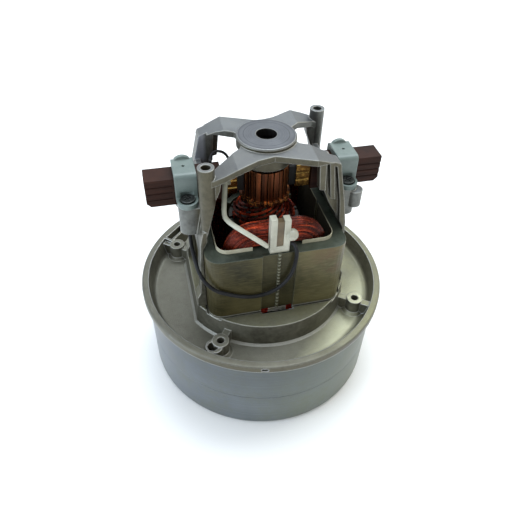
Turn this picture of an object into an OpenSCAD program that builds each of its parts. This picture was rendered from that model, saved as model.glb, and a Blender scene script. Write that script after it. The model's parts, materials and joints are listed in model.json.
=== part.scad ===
// Through-flow vacuum motor unit: a two-stage fan case, cast brackets and a two-pole brush motor.
// Millimetres. The origin is the centre of the fan case's base, on the shaft axis.
// +Z runs up the shaft, X runs along the two brushes, and the front is towards -Y.

/* [Fan case] */
// Width of the rim's top face
rim_w = 4; // [3:0.25:5]
// Height of the rim's outer band
rim_h = 4; // [3:0.25:6]
// Outside diameter of the fan shells
shell_d = 138.8; // [137:0.2:140]
// Overhang of the cast rim beyond the shells
rim_lip = 2.6; // [2:0.1:4]
// Sheet thickness of the two fan shells
shell_t = 0.9; // [0.7:0.1:1.1]
// Height of the fan case up to the rim
case_h = 58; // [57:0.5:62]
// Height of the seam between the two shells
seam_z = 28.8; // [26:0.1:29]
// Overlap of the two shells at the seam
seam_lap = 3; // [2.5:0.5:5]
// Radius of the base edge
base_round = 4; // [2:0.5:6]
// Throat diameter of the inlet eye
eye_d = 50; // [44:1:54]
// Radius of the rolled lip round the eye
eye_roll = 3; // [2:0.5:4]

/* [Lower bracket] */
// Depth of the dish below the rim
dish_depth = 10; // [8:0.5:11]
// Thickness of the dish floor
floor_t = 3; // [2:0.25:4]
// Inward lean of the dish wall
dish_draft = 1.6; // [0.5:0.1:2.5]
// Fillet between the dish wall and its floor
dish_fillet = 2.5; // [1:0.25:4]
// Diameter of the drum under the stator, at the floor
drum_d = 100; // [98:0.5:104]
// Distance across the drum's two flats, at the floor
drum_flats = 87.6; // [87:0.2:92]
// Height of the drum above the floor
drum_h = 14.5; // [14:0.5:18]
// Inward lean of the drum's wall
drum_draft = 1.2; // [0.6:0.1:1.4]
// Wall thickness of the drum and of its deck
drum_wall = 3; // [2.5:0.25:3.5]
// Distance of the four screw bosses inside the shells' outer wall
boss_inset = 10.9; // [9.9:0.1:11.9]
// Diameter of a screw boss
boss_d = 9.2; // [8:0.2:10]
// Diameter of a boss hole
boss_hole_d = 4.2; // [3:0.1:5]
// Depth of a boss hole
boss_hole_l = 8; // [5:0.5:9]
// Distance of the boss tops below the rim's top
boss_drop = 0.5; // [0:0.25:2]
// Angle of the first boss, on the right
boss_angle = -35.5; // [-38:0.5:-33]

/* [Fans] */
// Gap from the fans' tips to the shells' outer wall
fan_tip_gap = 7.9; // [6.4:0.1:11.4]
// Height of a fan
fan_h = 13; // [12:0.25:13.5]
// Eye diameter of a fan
fan_eye_d = 46; // [40:1:50]
// Blades on a fan
fan_blades = 7; // [5:1:9]
// Sheet thickness of the fans and of the guide
fan_sheet = 1; // [0.8:0.1:1.2]
// Height of the guide between the stages
guide_h = 7; // [6:0.25:7.5]
// Vanes in the guide
guide_vanes = 9; // [7:1:12]
// Running gap between a fan and the guide
fan_gap = 1.5; // [1:0.1:2]
// Outside diameter of the fan spacers
spacer_d = 14; // [12.5:0.5:16]

/* [Shaft and bearings] */
// Shaft diameter at the armature and the lower bearing
shaft_d = 10; // [9:0.5:11]
// Shaft diameter at the fans and the upper bearing
shaft_end_d = 8; // [7:0.5:8.5]
// Outside diameter of the lower bearing
lower_bearing_d = 30; // [28:0.5:31]
// Width of the lower bearing
lower_bearing_w = 9; // [8:0.5:9.5]
// Outside diameter of the upper bearing
upper_bearing_d = 22; // [20:0.5:22.5]
// Width of the upper bearing
upper_bearing_w = 7; // [6:0.5:7.5]

/* [Stator] */
// Width of the stack along X
stack_w = 74.4; // [73.6:0.2:75]
// Depth of the stack along Y
stack_d = 72; // [71:0.5:73]
// Height of the stack
stack_h = 40; // [36:0.5:46]
// Corner radius of the stack
stack_corner = 7.5; // [5:0.5:10]
// Thickness of the yoke on the left and right
yoke_w = 6.2; // [5.8:0.1:6.8]
// Thickness of the yoke at the front and back
yoke_d = 6; // [5.6:0.1:6.2]
// Corner radius of the winding window
window_corner = 6; // [4:0.5:7]
// Width of a pole
pole_w = 26; // [24:0.5:27]
// Diameter of the stator bore
bore_d = 40; // [39:0.25:41]
// Thickness of a pole shoe
shoe_t = 3; // [2:0.25:3.5]
// Width of the shallow channel down the front and back faces
channel_w = 18; // [12:0.5:24]
// Depth of that channel
channel_t = 1; // [0.5:0.1:1.5]
// Height of the slot liners above and below the stack
liner_lip = 2.2; // [1:0.1:3]
// Thickness of the slot liners
liner_t = 0.4; // [0.3:0.05:0.6]

/* [Windings] */
// Turns in the outer layer of a field coil
coil_turns = 7; // [4:1:7]
// Wire diameter of that layer
coil_wire = 1; // [0.8:0.05:1]
// Height of the coil ends above and below the stack
coil_rise = 12.8; // [12.6:0.1:13]
// Gap between a field coil and the pole shoes
coil_gap = 1.8; // [1.5:0.1:4]
// Slots in the armature, and loops in its winding
slots = 12; // [12:1:12]
// Wire diameter of the armature winding
armature_wire = 1.4; // [1:0.1:1.5]
// Air gap between the armature and the poles
air_gap = 0.7; // [0.5:0.05:1]

/* [Commutator and brushes] */
// Diameter of the commutator
comm_d = 24; // [22:0.5:25]
// Length of the commutator
comm_l = 17; // [15:0.5:18]
// Bars in the commutator
comm_bars = 24; // [20:2:28]
// Slit between two bars
bar_gap = 0.6; // [0.4:0.1:0.8]
// Drop of the brush axis below the top plate
brush_drop = 21.8; // [21:0.2:23]
// Width of a carbon brush
brush_w = 6.4; // [5.5:0.1:6.6]
// Height of a carbon brush
brush_h = 11; // [10:0.2:11.2]
// Length of a carbon brush
brush_l = 26; // [22:0.5:28]
// Distance that a brush can be pushed back
brush_travel = 8; // [5:0.5:9]
// Clearance round a brush, and between it and the commutator
brush_fit = 0.3; // [0.2:0.05:0.4]
// Wall of a brass brush tube
tube_t = 0.6; // [0.5:0.05:0.7]
// Width of a brush holder
holder_w = 11.4; // [10.8:0.1:11.8]
// Height of a brush holder
holder_h = 15; // [14.4:0.1:15.4]
// Distance from the shaft axis to a holder's outer end
holder_end = 61.3; // [60:0.1:66]
// Width of a brush clamp along X
clamp_l = 10.9; // [10.5:0.1:11.5]
// Wall of a brush clamp
clamp_t = 2.9; // [2.4:0.1:3.1]
// Distance of a clamp's screws from the brush axis
clamp_screw_y = 11; // [10.8:0.1:11.6]
// Coils in a brush spring
spring_turns = 6; // [4:1:7]

/* [Cage] */
// Height of the top plate above the stack
cage_h = 45.5; // [44:0.5:50]
// Thickness of the top plate
plate_t = 3.2; // [2.6:0.1:3.6]
// Diameter of the raised hub disc
hub_d = 30; // [29:0.5:32]
// Height of the hub disc above the plate
hub_step = 2; // [1:0.25:4]
// Diameter of the hole in the hub disc
hub_hole_d = 10.4; // [9.5:0.2:12]
// Wall of the hub round the upper bearing
hub_wall = 1.8; // [1.6:0.1:2.4]
// Diameter of the two drilled posts
post_d = 7.8; // [7:0.2:8.6]
// Height of the posts above the plate
post_rise = 1.2; // [0.6:0.1:3]
// Hole diameter of the posts
post_hole_d = 4.6; // [3:0.1:5]
// Hole depth of the posts
post_hole_l = 14; // [8:0.5:16]
// Distance of the posts from the shaft axis along X
post_x = 33.2; // [32.8:0.1:33.6]
// Distance of the posts from the shaft axis along Y
post_y = 22.1; // [21.7:0.1:22.5]

/* [Cut-out and leads] */
// Width of the clip that holds the thermal cut-out
clip_w = 10; // [9.5:0.1:11]
// Height of the clip
clip_h = 21; // [18:0.5:24]
// Depth of the clip along Y
clip_d = 4.4; // [4:0.1:4.6]
// Diameter of the white sleeve
sleeve_d = 2.5; // [2.4:0.1:3.2]
// Diameter of the black lead
lead_d = 2; // [1.6:0.1:2.4]
// Diameter of the lead from the back coil to the left brush
brush_lead_d = 1.4; // [1:0.1:1.5]

/* [Hidden] */
// Clearance of a press or push fit, on the radius
fit = 0.03;
// Clearance between loose neighbours
slack = 0.3;
// Facets of a full circle
$fn = 96;

// Levels, from the base up
rim_top = case_h + rim_h;
floor_top = rim_top - dish_depth;
floor_bottom = floor_top - floor_t;
deck_z = floor_top + drum_h;
stack_top = deck_z + stack_h;
plate_top = stack_top + cage_h;
plate_bottom = plate_top - plate_t;
brush_z = plate_top - brush_drop;
hub_top = plate_top + hub_step;
post_top = plate_top + post_rise;

// Fan case radii
shell_r = shell_d / 2;
rim_r = shell_r + rim_lip;
seam_gap = 0.4;
rim_gap = 0.3;
shell_in = shell_r - shell_t;
lap_r = shell_in - fit;
spigot_r = shell_in - fit;
spigot_w = 2.2;
spigot_h = 10;
rim_edge = 1.2;

// Lower bearing seat in the floor
seat_wall = 3;
bearing_rise = 3.5;
lower_bearing_top = floor_top + bearing_rise;
lower_bearing_z = lower_bearing_top - lower_bearing_w;
seat_lip = 1.5;
seat_hole_r = 10;
seat_r = lower_bearing_d / 2 + seat_wall;

// Fans and guide, hung below the lower bearing
top_spacer_l = 2.3;
fan2_z = lower_bearing_z - top_spacer_l - fan_h;
guide_z = fan2_z - fan_gap - guide_h;
fan1_z = guide_z - fan_gap - fan_h;
guide_r = lap_r - shell_t - fit;
fan_d = shell_d - 2 * fan_tip_gap;
fan_cone = 3;
blade_t = 0.9;
blade_root_r = 21;
washer_r = 11;
washer_t = 1.6;
nut_af = 13;
nut_h = 6.5;
nut_under = 1.5;
washer_z = fan1_z + fan_h - fan_sheet - washer_t;
nut_z = washer_z - nut_h;
shaft_bottom = nut_z - nut_under;
eye_lip_h = 1.5;

// Upper bearing in the hub
hub_skin = 4.5;
washer_gap = 0.8;
upper_bearing_z = hub_top - hub_skin - washer_gap - upper_bearing_w;
hub_low_r = upper_bearing_d / 2 + hub_wall;
hub_bottom = upper_bearing_z - 1.2;
shaft_top = upper_bearing_z + upper_bearing_w;

// Winding window of the stack, and the pole shoes round its bore
window_w = stack_w - 2 * yoke_w;
window_d = stack_d - 2 * yoke_d;
shoe_r = bore_d / 2 + shoe_t;

// Drum deck and its opening
flat_x = drum_flats / 2;
deck_open_w = window_w + 1;
deck_open_d = window_d + 8;
deck_corner = 6;
notch_d = 2.6;
seat_groove = 1.3;
seat_groove_h = 1.8;
vent_in_r = seat_r + 3;
vent_out_r = drum_d / 2 - 14;
vent_angle = 62;

// Bosses, pocket and rim hole
boss_r = shell_r - boss_inset;
boss_top = rim_top - boss_drop;
rib_w = 4;
pocket_angle = 136.3;
pocket_l = 14;
pocket_w = 4;
pocket_wall = 1.5;
pocket_depth = 6;
pocket_r = rim_r - rim_w - pocket_w - 0.8;
rim_hole_angle = -102;
rim_hole_d = 1.8;
rim_hole_l = 2;

// Armature
armature_r = bore_d / 2 - air_gap;
core_inset = 1;
core_z = deck_z + core_inset;
core_top = stack_top - core_inset;
slot_play = 0.4;
slot_inset = 2.7;
layer_step = 3;
end_flare = 0.4;
end_reach = 8.1;
dive_in = 0.3;
sleeve_gap = 0.5;
slot_w = armature_wire + 2.5 * slot_play;
slot_mouth = 1.6;
layer_out = armature_r - slot_inset;
layer_in = layer_out - layer_step;
slot_bottom = layer_in - armature_wire / 2 - slot_play;
slot_top = layer_out + armature_wire / 2 + slot_play;
end_out = layer_out + end_flare;
end_in = layer_out - end_reach;
end_low = 2.4;
top_rise = 12;
bottom_rise = 9.2;
top_dive = 5;
bottom_dive = 4.6;
turn_in = 2.2;
sleeve_r = end_in - armature_wire / 2 - sleeve_gap;
coil_span = 5;

// Commutator
comm_r = comm_d / 2;
comm_z = brush_z - comm_l / 2;
bar_depth = 3.4;
riser_h = 2.2;
riser_out = 1.4;
comm_in = comm_r - bar_depth;

// Brush tube, holder and clamp
tube_w = brush_w + 2 * brush_fit + 2 * tube_t;
tube_h = brush_h + 2 * brush_fit + 2 * tube_t;
tube_start = comm_r + 3.5;
holder_start = 23.2;
holder_skin = 1.4;
tube_end = holder_end - holder_skin - fit;
brush_start = comm_r + brush_fit;
brush_end = brush_start + brush_l;
spring_start = brush_end + slack;
spring_end = tube_end - tube_t - slack;
spring_wire = 0.7;
spring_r = brush_w / 2 - 0.5;
groove_t = 0.4;
clamp_x = 36;
clamp_w = holder_w + 2 * fit + 2 * clamp_t;
clamp_roof = 3.3;
clamp_top = brush_z + holder_h / 2 + fit + clamp_roof;
clamp_edge = 2.4;
tab_h = 1.8;
tab_r = 5;
flange_t = 2.6;
flange_r = 5.2;
flange_drop = 4.2;
flange_tie = 3;
flange_z = brush_z - flange_drop;
clamp_hole_r = 0.8;
clamp_hole_l = 1.5;
clamp_screw_x = 41.5;
recess_r = 4;
recess_t = 1.1;
screw_head_r = 3.5;
screw_head_h = 2;
screw_r = 1.7;
screw_l = 12;

// Cage outline, one side
saddle_z = brush_z - holder_h / 2 - fit;
saddle_bottom = flange_z - 16;
saddle_end = 46.6;
column_y = 15.6;
column_w = 9.2;
ear_x = 45.4;
ear_y = 13.6;
ear_d = 8;
ear_drop = 1.2;
arm_slope_x = 19;
arm_slope = 20.5;
wall_t = 3;
leg_x = stack_w / 2 + slack;
foot_x = flat_x - drum_draft - 0.2;
foot_h = 6;
frame_screw_r = 1.25;
frame_head_r = 2.2;
frame_head_h = 2;
frame_screw_l = 7;
frame_screw_x = leg_x + 1.9;
plain_leg_y = [-22.8, -15.4];
web_y = [plain_leg_y[0] + 3.4, plain_leg_y[1]];
post_leg_y = [post_y - 3.6, post_y + 3.6];
cheek_top = brush_z + 4;
cheek_drop = 5;
ear_h = 9.3;

// Weld bead down each channel of the stack
bead_r = 0.8;

// Field coil
coil_lift = 0.22;
coil_core_y = window_d / 2 - liner_t - slack - coil_wire - coil_lift - 0.03;
coil_in_w = pole_w / 2 + 0.9;
coil_in_h = stack_h / 2 + 0.8;
coil_side = 3.4;
coil_out_w = window_w / 2 - liner_t - coil_side;
coil_out_h = stack_h / 2 + coil_rise;
coil_corner_in = 2;
coil_corner_out = 16;
coil_edge = 6;
coil_edge_x = coil_out_w - coil_edge;
coil_edge_y = coil_core_y - coil_edge;
coil_mid_z = deck_z + stack_h / 2;
coil_back_y = sqrt(shoe_r * shoe_r - coil_in_w * coil_in_w) + coil_gap;

// Cut-out clip on the front of the stack
clip_y = stack_d / 2 - 2;
clip_foot_h = 4;
jaw_w = 3.2;
stub_l = 2.2;
knob_d = 6.2;
knob_out = 2.2;
can_w = clip_w - 2 * jaw_w - 2 * fit;

// Routes of the leads, chosen by hand
lead_route = [
    [-42, -9, 109.4], [-42, -9.2, 106.5], [-42, -10.6, 103.8], [-42, -14, 101.4], [-41.8, -19, 99.4],
    [-41.4, -24.5, 97.4], [-40.4, -29, 95], [-38, -33.6, 92], [-33.4, -37, 88.8], [-26.5, -37.4, 84.8],
    [-20, -37.4, 81.8], [-13, -37.4, 80.4], [-6.5, -37.4, 81.2], [-1, -37.4, 83.8], [3, -37.4, 87.8],
    [5.8, -37.4, 92.6], [7.2, -37.4, 97.6], [7.8, -37.4, 102.2], [8, -37.4, 106.6], [7.9, -36.3, 109.2],
    [7.4, -34.4, 110.6], [6.5, -33.2, 110.9], [5.4, -32.8, 110.9]
];
brush_lead_route = [
    [-27.4, 4.6, 138.5], [-27.2, 6.2, 139], [-26.4, 7.4, 140.2], [-25.2, 7.9, 141.6], [-23.4, 8.1, 142.2],
    [-21, 8.1, 141.6], [-19, 8.3, 139.9], [-17.6, 8.8, 137.2], [-16.9, 9.8, 133.6], [-16.8, 11.6, 129.6],
    [-17, 14.2, 126], [-17.5, 17.4, 123.2], [-18, 21, 121.3], [-18.2, 24.4, 120.4]
];
sleeve_route = [
    [-20.5, -7.2, 133], [-21.4, -9.6, 138], [-22.4, -12.6, 142.2], [-23.2, -15.6, 144], [-23.8, -17.8, 142],
    [-24.4, -19, 137.7], [-25.2, -20.5, 130.7], [-25.5, -21.6, 126.2], [-25, -23.4, 124],
    [-23, -26.2, 122.8], [-19.4, -29.6, 121.3], [-15, -32, 118.7], [-10.2, -32.8, 114.6], [-6.2, -32.8, 110.8]
];

// Shapes that several pieces share

function unit(v) = v / norm(v);

function arc(c, r, a0, a1, n) =
    [for (i = [0:n]) let (a = a0 + (a1 - a0) * i / n) [c[0] + r * cos(a), c[1] + r * sin(a)]];

function rounded(w, d, r, n = 6) = concat(
    arc([w / 2 - r, d / 2 - r], r, 0, 90, n), arc([r - w / 2, d / 2 - r], r, 90, 180, n),
    arc([r - w / 2, r - d / 2], r, 180, 270, n), arc([w / 2 - r, r - d / 2], r, 270, 360, n));

function reversed(v) = [for (i = [len(v) - 1:-1:0]) v[i]];

function mix(a, b, t) = a + (b - a) * t;

// Unit tangents along a path, and normals carried along it without twist
function tangents(p) = [for (i = [0:len(p) - 1]) unit(p[min(i + 1, len(p) - 1)] - p[max(i - 1, 0)])];
function carried(t, n0, i = 0, done = []) =
    i == len(t) ? done
    : let (prev = i == 0 ? n0 : done[i - 1]) carried(t, n0, i + 1, concat(done, [unit(prev - (prev * t[i]) * t[i])]));

// A round tube of diameter d along the points p
module tube_along(p, d, sides, n0) {
    t = tangents(p);
    n = carried(t, n0);
    last = len(p) - 1;
    rings = [for (i = [0:last], k = [0:sides - 1])
        let (a = 360 * k / sides) p[i] + d / 2 * (cos(a) * n[i] + sin(a) * cross(t[i], n[i]))];
    walls = [for (i = [0:last - 1], k = [0:sides - 1], half = [0, 1])
        let (a = i * sides + k, b = i * sides + (k + 1) % sides)
        half == 0 ? [a, a + sides, b] : [b, a + sides, b + sides]];
    start_cap = [for (k = [1:sides - 2]) [0, k, k + 1]];
    end_cap = [for (k = [1:sides - 2]) [last * sides, last * sides + k + 1, last * sides + k]];
    polyhedron(points = rings, faces = concat(walls, start_cap, end_cap), convexity = 10);
}

// Distance from point q to the segment a to b
function reach(q, a, b) = let (s = (q - a) * (b - a) / ((b - a) * (b - a))) norm(q - mix(a, b, max(0, min(1, s))));

// Least gap of a tube of diameter d to itself, leaving out near neighbours along the path
function self_gap(p, d, skip) = min([for (i = [0:len(p) - 1], j = [0:len(p) - 2])
    if (abs(i - j) > skip) reach(p[i], p[j], p[j + 1])]) - d;

module turned(points) rotate_extrude() polygon(points);

module ring(r_out, r_in, z, h) {
    translate([0, 0, z]) difference() {
        cylinder(r = r_out, h = h);
        translate([0, 0, -1]) cylinder(r = r_in, h = h + 2);
    }
}

// A flat outline in X and Z, as thick as the span y0 to y1
module upright(y0, y1) translate([0, y1, 0]) rotate([90, 0, 0]) linear_extrude(y1 - y0) children();

// The same piece on the right and, turned half round, on the left
module half_turn(left) rotate([0, 0, left ? 180 : 0]) children();

module both_sides() {
    children();
    rotate([0, 0, 180]) children();
}

// Fan case

module lower_shell() color("#8d979c") {
    out_r = shell_r;
    in_r = out_r - shell_t;
    lap_in = lap_r - shell_t;
    roll_r = eye_d / 2 + eye_roll;
    turned(concat(
        arc([out_r - base_round, base_round], base_round, -90, 0, 6),
        [[out_r, seam_z], [lap_r, seam_z], [lap_r, seam_z + seam_lap], [lap_in, seam_z + seam_lap],
            [lap_in, seam_z - shell_t], [in_r, seam_z - shell_t]],
        arc([out_r - base_round, base_round], base_round - shell_t, 0, -90, 6),
        arc([roll_r, eye_roll], eye_roll - shell_t, 270, 180, 5),
        [[eye_d / 2 + shell_t, eye_roll + eye_lip_h], [eye_d / 2, eye_roll + eye_lip_h]],
        arc([roll_r, eye_roll], eye_roll, 180, 270, 5)));
}

module upper_shell() color("#8d979c") ring(shell_r, shell_in, seam_z + seam_gap, case_h - rim_gap - seam_z - seam_gap);

// One curved blade in plan, from radius r0 to r1, sweeping through an angle
module blade_plan(r0, r1, sweep) {
    steps = 8;
    side = function(s) [for (i = [0:steps])
        let (r = mix(r0, r1, i / steps), a = sweep * i / steps + s * blade_t / 2 / r * 180 / PI)
        [r * cos(a), r * sin(a)]];
    polygon(concat(side(-1), reversed(side(1))));
}

module fan(z) color("#b9bcbd") {
    r = fan_d / 2;
    eye_r = fan_eye_d / 2;
    back = z + fan_h - fan_sheet;
    ring(r, shaft_end_d / 2 + fit, back, fan_sheet);
    turned([[eye_r, z], [r, z + fan_cone], [r, z + fan_cone + fan_sheet], [eye_r, z + fan_sheet]]);
    intersection() {
        for (i = [0:fan_blades - 1]) rotate([0, 0, i * 360 / fan_blades]) translate([0, 0, z])
            linear_extrude(fan_h) blade_plan(blade_root_r, r - 0.5, -62);
        turned([[blade_root_r - 1, z + fan_sheet / 2], [eye_r, z + fan_sheet / 2], [r, z + fan_cone + fan_sheet / 2],
            [r, back + fan_sheet / 2], [blade_root_r - 1, back + fan_sheet / 2]]);
    }
}

module first_stage_fan() fan(fan1_z);
module second_stage_fan() fan(fan2_z);

module guide_plate() color("#a9adae") {
    top = guide_z + guide_h - fan_sheet;
    ring(fan_d / 2, spacer_d / 2 + 0.6, guide_z, fan_sheet);
    ring(guide_r, fan_eye_d / 2 + 1, top, fan_sheet);
    for (i = [0:guide_vanes - 1]) rotate([0, 0, i * 360 / guide_vanes]) translate([0, 0, guide_z + fan_sheet / 2])
        linear_extrude(guide_h - fan_sheet) blade_plan(fan_eye_d / 2 + 2, fan_d / 2 - 1, 48);
}

module fan_spacers() color("#7c8083") {
    bore = shaft_end_d / 2 + fit;
    ring(spacer_d / 2, bore, fan1_z + fan_h, fan2_z - fan1_z - fan_sheet);
    ring(spacer_d / 2, bore, fan2_z + fan_h, top_spacer_l);
}

module fan_washer() color("#7c8083") ring(washer_r, shaft_end_d / 2 + fit, washer_z, washer_t);

module shaft_nut() color("#6f7376") translate([0, 0, nut_z]) difference() {
    cylinder(d = nut_af / cos(30), h = nut_h, $fn = 6);
    translate([0, 0, -1]) cylinder(r = shaft_end_d / 2 + fit, h = nut_h + 2);
}

// Lower bracket

// The drum's drafted round form with its two flats, taken in by the given inset
module drum_form(inset, z0, z1) {
    lean = drum_draft / drum_h;
    r = function(z) drum_d / 2 - inset - lean * (z - floor_top);
    x = function(z) flat_x - inset - lean * (z - floor_top);
    intersection() {
        turned([[0, z0], [r(z0), z0], [r(z1), z1], [0, z1]]);
        upright(-drum_d, drum_d) polygon([[-x(z0), z0], [x(z0), z0], [x(z1), z1], [-x(z1), z1]]);
    }
}

module dish() {
    wall_low = rim_r - rim_w - dish_draft;
    turned(concat(
        [[seat_r - 1, floor_bottom], [spigot_r - spigot_w, floor_bottom], [spigot_r - spigot_w, case_h - spigot_h],
            [spigot_r, case_h - spigot_h], [spigot_r, case_h], [rim_r, case_h]],
        arc([rim_r - rim_edge, rim_top - rim_edge], rim_edge, 0, 90, 4),
        [[rim_r - rim_w, rim_top]],
        arc([wall_low - dish_fillet, floor_top + dish_fillet], dish_fillet, 0, -90, 5),
        [[seat_r - 1, floor_top]]));
}

module boss_solid(angle, rim_rib) rotate([0, 0, angle]) {
    translate([boss_r, 0, floor_top - 1]) cylinder(d = boss_d, h = boss_top - floor_top + 1);
    translate([boss_r, 0, floor_top - 0.2]) cylinder(d1 = boss_d + 4, d2 = boss_d + 0.6, h = 1.8);
    drum_in = flat_x - 2;
    translate([drum_in, -rib_w / 2, floor_top - 1]) cube([boss_r - drum_in, rib_w, boss_top - floor_top - 0.5]);
    if (rim_rib) translate([boss_r, -rib_w / 2, floor_top - 1])
        cube([spigot_r - slack - boss_r, rib_w, boss_top - floor_top - 0.5]);
    else difference() {
        translate([boss_r + 4.4, -1.6, floor_top - 1]) cylinder(d = boss_d, h = boss_top - floor_top + 0.4);
        translate([boss_r + 4.9, -2.2, floor_top + 2]) cylinder(d = boss_d - 3.4, h = boss_top - floor_top);
    }
}

module pocket_block() intersection() {
    rotate([0, 0, pocket_angle]) translate([pocket_r - pocket_wall, -pocket_l / 2 - pocket_wall, floor_top - 1])
        cube([pocket_w + 3 * pocket_wall, pocket_l + 2 * pocket_wall, rim_top - floor_top + 1]);
    translate([0, 0, floor_bottom]) cylinder(r = spigot_r - slack, h = dish_depth + floor_t + 1);
}

module vents() for (i = [0:3]) rotate([0, 0, i * 90 + 45]) translate([0, 0, floor_bottom - 1])
    linear_extrude(floor_t + 2) polygon(concat(
        arc([0, 0], vent_out_r, -vent_angle / 2, vent_angle / 2, 8),
        arc([0, 0], vent_in_r, vent_angle / 2, -vent_angle / 2, 8)));

module frame_screw_places() both_sides() {
    for (y = [plain_leg_y, post_leg_y]) translate([frame_screw_x, (y[0] + y[1]) / 2, 0]) children();
}

module lower_bracket() color("#8f8f88") difference() {
    union() {
        dish();
        difference() {
            drum_form(0, floor_top - 1, deck_z);
            drum_form(drum_wall, floor_top - 2, deck_z - drum_wall);
            translate([0, 0, deck_z - drum_wall - 1]) linear_extrude(drum_wall + 2) {
                polygon(rounded(deck_open_w, deck_open_d, deck_corner));
                square([channel_w, stack_d + 2 * notch_d], center = true);
            }
            translate([0, 0, deck_z - seat_groove_h]) linear_extrude(seat_groove_h + 1) difference() {
                polygon(rounded(stack_w + 2 * seat_groove, stack_d + 2 * seat_groove, stack_corner + seat_groove));
                polygon(rounded(stack_w, stack_d, stack_corner));
            }
        }
        drum_form(-0.5, floor_top - 1, floor_top + 0.9);
        drum_form(-1, floor_top - 1, floor_top + 0.4);
        ring(seat_r, lower_bearing_d / 2 - 2, lower_bearing_z - seat_lip,
            lower_bearing_top - lower_bearing_z + seat_lip + 0.5);
        for (i = [0:3]) boss_solid(boss_angle + 90 * i, i % 2 == 0);
        pocket_block();
    }
    translate([0, 0, lower_bearing_z]) cylinder(r = lower_bearing_d / 2 + fit, h = lower_bearing_w + 4);
    translate([0, 0, lower_bearing_z - 5]) cylinder(r = seat_hole_r, h = 10);
    vents();
    for (i = [0:3]) rotate([0, 0, boss_angle + 90 * i])
        translate([boss_r, 0, boss_top - boss_hole_l]) cylinder(d = boss_hole_d, h = boss_hole_l + 1);
    rotate([0, 0, pocket_angle]) translate([pocket_r, -pocket_l / 2, rim_top - pocket_depth])
        cube([pocket_w, pocket_l, pocket_depth + 1]);
    rotate([0, 0, rim_hole_angle]) translate([rim_r - 3, 0, case_h + rim_h / 2]) {
        for (s = [-1, 1]) translate([0, s * rim_hole_l / 2, 0]) rotate([0, 90, 0]) cylinder(d = rim_hole_d, h = 4);
        translate([0, -rim_hole_l / 2, -rim_hole_d / 2]) cube([4, rim_hole_l, rim_hole_d]);
    }
    frame_screw_places() {
        translate([0, 0, floor_top]) cylinder(r = frame_head_r + 0.2, h = deck_z - drum_wall - floor_top);
        translate([0, 0, deck_z - drum_wall - 1]) cylinder(r = frame_screw_r + fit, h = drum_wall + 2);
    }
}

// Bearings: two races with a ball groove, and a ring of balls

function ball_r(bore, od) = (od - bore) / 2 * 0.27;
function pitch_r(bore, od) = (od + bore) / 4;

module outer_race(bore, od, w, z) color("#c3c6c8") translate([0, 0, z]) rotate_extrude() difference() {
    b = ball_r(bore, od);
    p = pitch_r(bore, od);
    translate([p + 0.55 * b, 0]) square([od / 2 - p - 0.55 * b, w]);
    translate([p, w / 2]) circle(r = b + 0.06);
}

module inner_race(bore, od, w, z) color("#c3c6c8") translate([0, 0, z]) rotate_extrude() difference() {
    b = ball_r(bore, od);
    p = pitch_r(bore, od);
    translate([bore / 2 + fit, 0]) square([p - 0.55 * b - bore / 2 - fit, w]);
    translate([p, w / 2]) circle(r = b + 0.02);
}

module balls(bore, od, w, z, count) color("#d8dadb") for (i = [0:count - 1])
    rotate([0, 0, i * 360 / count]) translate([pitch_r(bore, od), 0, z + w / 2]) sphere(r = ball_r(bore, od));

module lower_bearing_outer() outer_race(shaft_d, lower_bearing_d, lower_bearing_w, lower_bearing_z);
module lower_bearing_inner() inner_race(shaft_d, lower_bearing_d, lower_bearing_w, lower_bearing_z);
module lower_bearing_balls() balls(shaft_d, lower_bearing_d, lower_bearing_w, lower_bearing_z, 8);
module upper_bearing_outer() outer_race(shaft_end_d, upper_bearing_d, upper_bearing_w, upper_bearing_z);
module upper_bearing_inner() inner_race(shaft_end_d, upper_bearing_d, upper_bearing_w, upper_bearing_z);
module upper_bearing_balls() balls(shaft_end_d, upper_bearing_d, upper_bearing_w, upper_bearing_z, 7);

module bearing_spring() color("#9a9da0")
    ring(upper_bearing_d / 2 - 0.3, hub_hole_d / 2 + 3, upper_bearing_z + upper_bearing_w, washer_gap);

// Rotor

module shaft() color("#aeb2b5") {
    low = lower_bearing_z;
    high = upper_bearing_z;
    translate([0, 0, shaft_bottom]) cylinder(d = shaft_end_d, h = low - shaft_bottom);
    translate([0, 0, low]) cylinder(d = shaft_d, h = high - low);
    translate([0, 0, high]) cylinder(d = shaft_end_d, h = shaft_top - high);
}

module armature_core() color("#55594f") translate([0, 0, core_z]) linear_extrude(core_top - core_z) difference() {
    circle(r = armature_r);
    circle(r = shaft_d / 2 + fit);
    for (i = [0:slots - 1]) rotate(i * 360 / slots) {
        translate([slot_bottom, -slot_w / 2]) square([slot_top - slot_bottom, slot_w]);
        translate([slot_bottom, -slot_mouth / 2]) square([armature_r - slot_bottom + 1, slot_mouth]);
    }
}

function at_angle(r, a, z) = [r * cos(a), r * sin(a), z];

// One loop of the lap winding: up the outer layer of a slot, over the top in a closing spiral, down the inner
// layer five slots on, and back underneath in an opening spiral to the next slot
function lap_loop(i) = let (
    pitch = 360 / slots,
    a0 = i * pitch,
    a1 = (i + coil_span) * pitch,
    a2 = (i + 1) * pitch,
    dive = end_in - dive_in,
    over = [for (k = [0:8]) let (t = k / 8)
        at_angle(mix(end_out, end_in, t), mix(a0, a1, t), core_top + mix(end_low, top_rise, t))],
    under = [for (k = [0:6]) let (t = k / 6)
        at_angle(mix(end_in, end_out, t), mix(a1, a2, t), core_z - mix(bottom_rise, end_low, t))])
    concat(
        [at_angle(layer_out, a0, core_z), at_angle(layer_out, a0, core_top)], over,
        [at_angle(dive, a1, core_top + top_dive), at_angle(mix(dive, layer_in, 0.5), a1, core_top + turn_in),
            at_angle(layer_in, a1, core_top), at_angle(layer_in, a1, core_z),
            at_angle(mix(dive, layer_in, 0.5), a1, core_z - turn_in), at_angle(dive, a1, core_z - bottom_dive)], under);

armature_path = [for (i = [0:slots - 1]) each lap_loop(i)];

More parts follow.
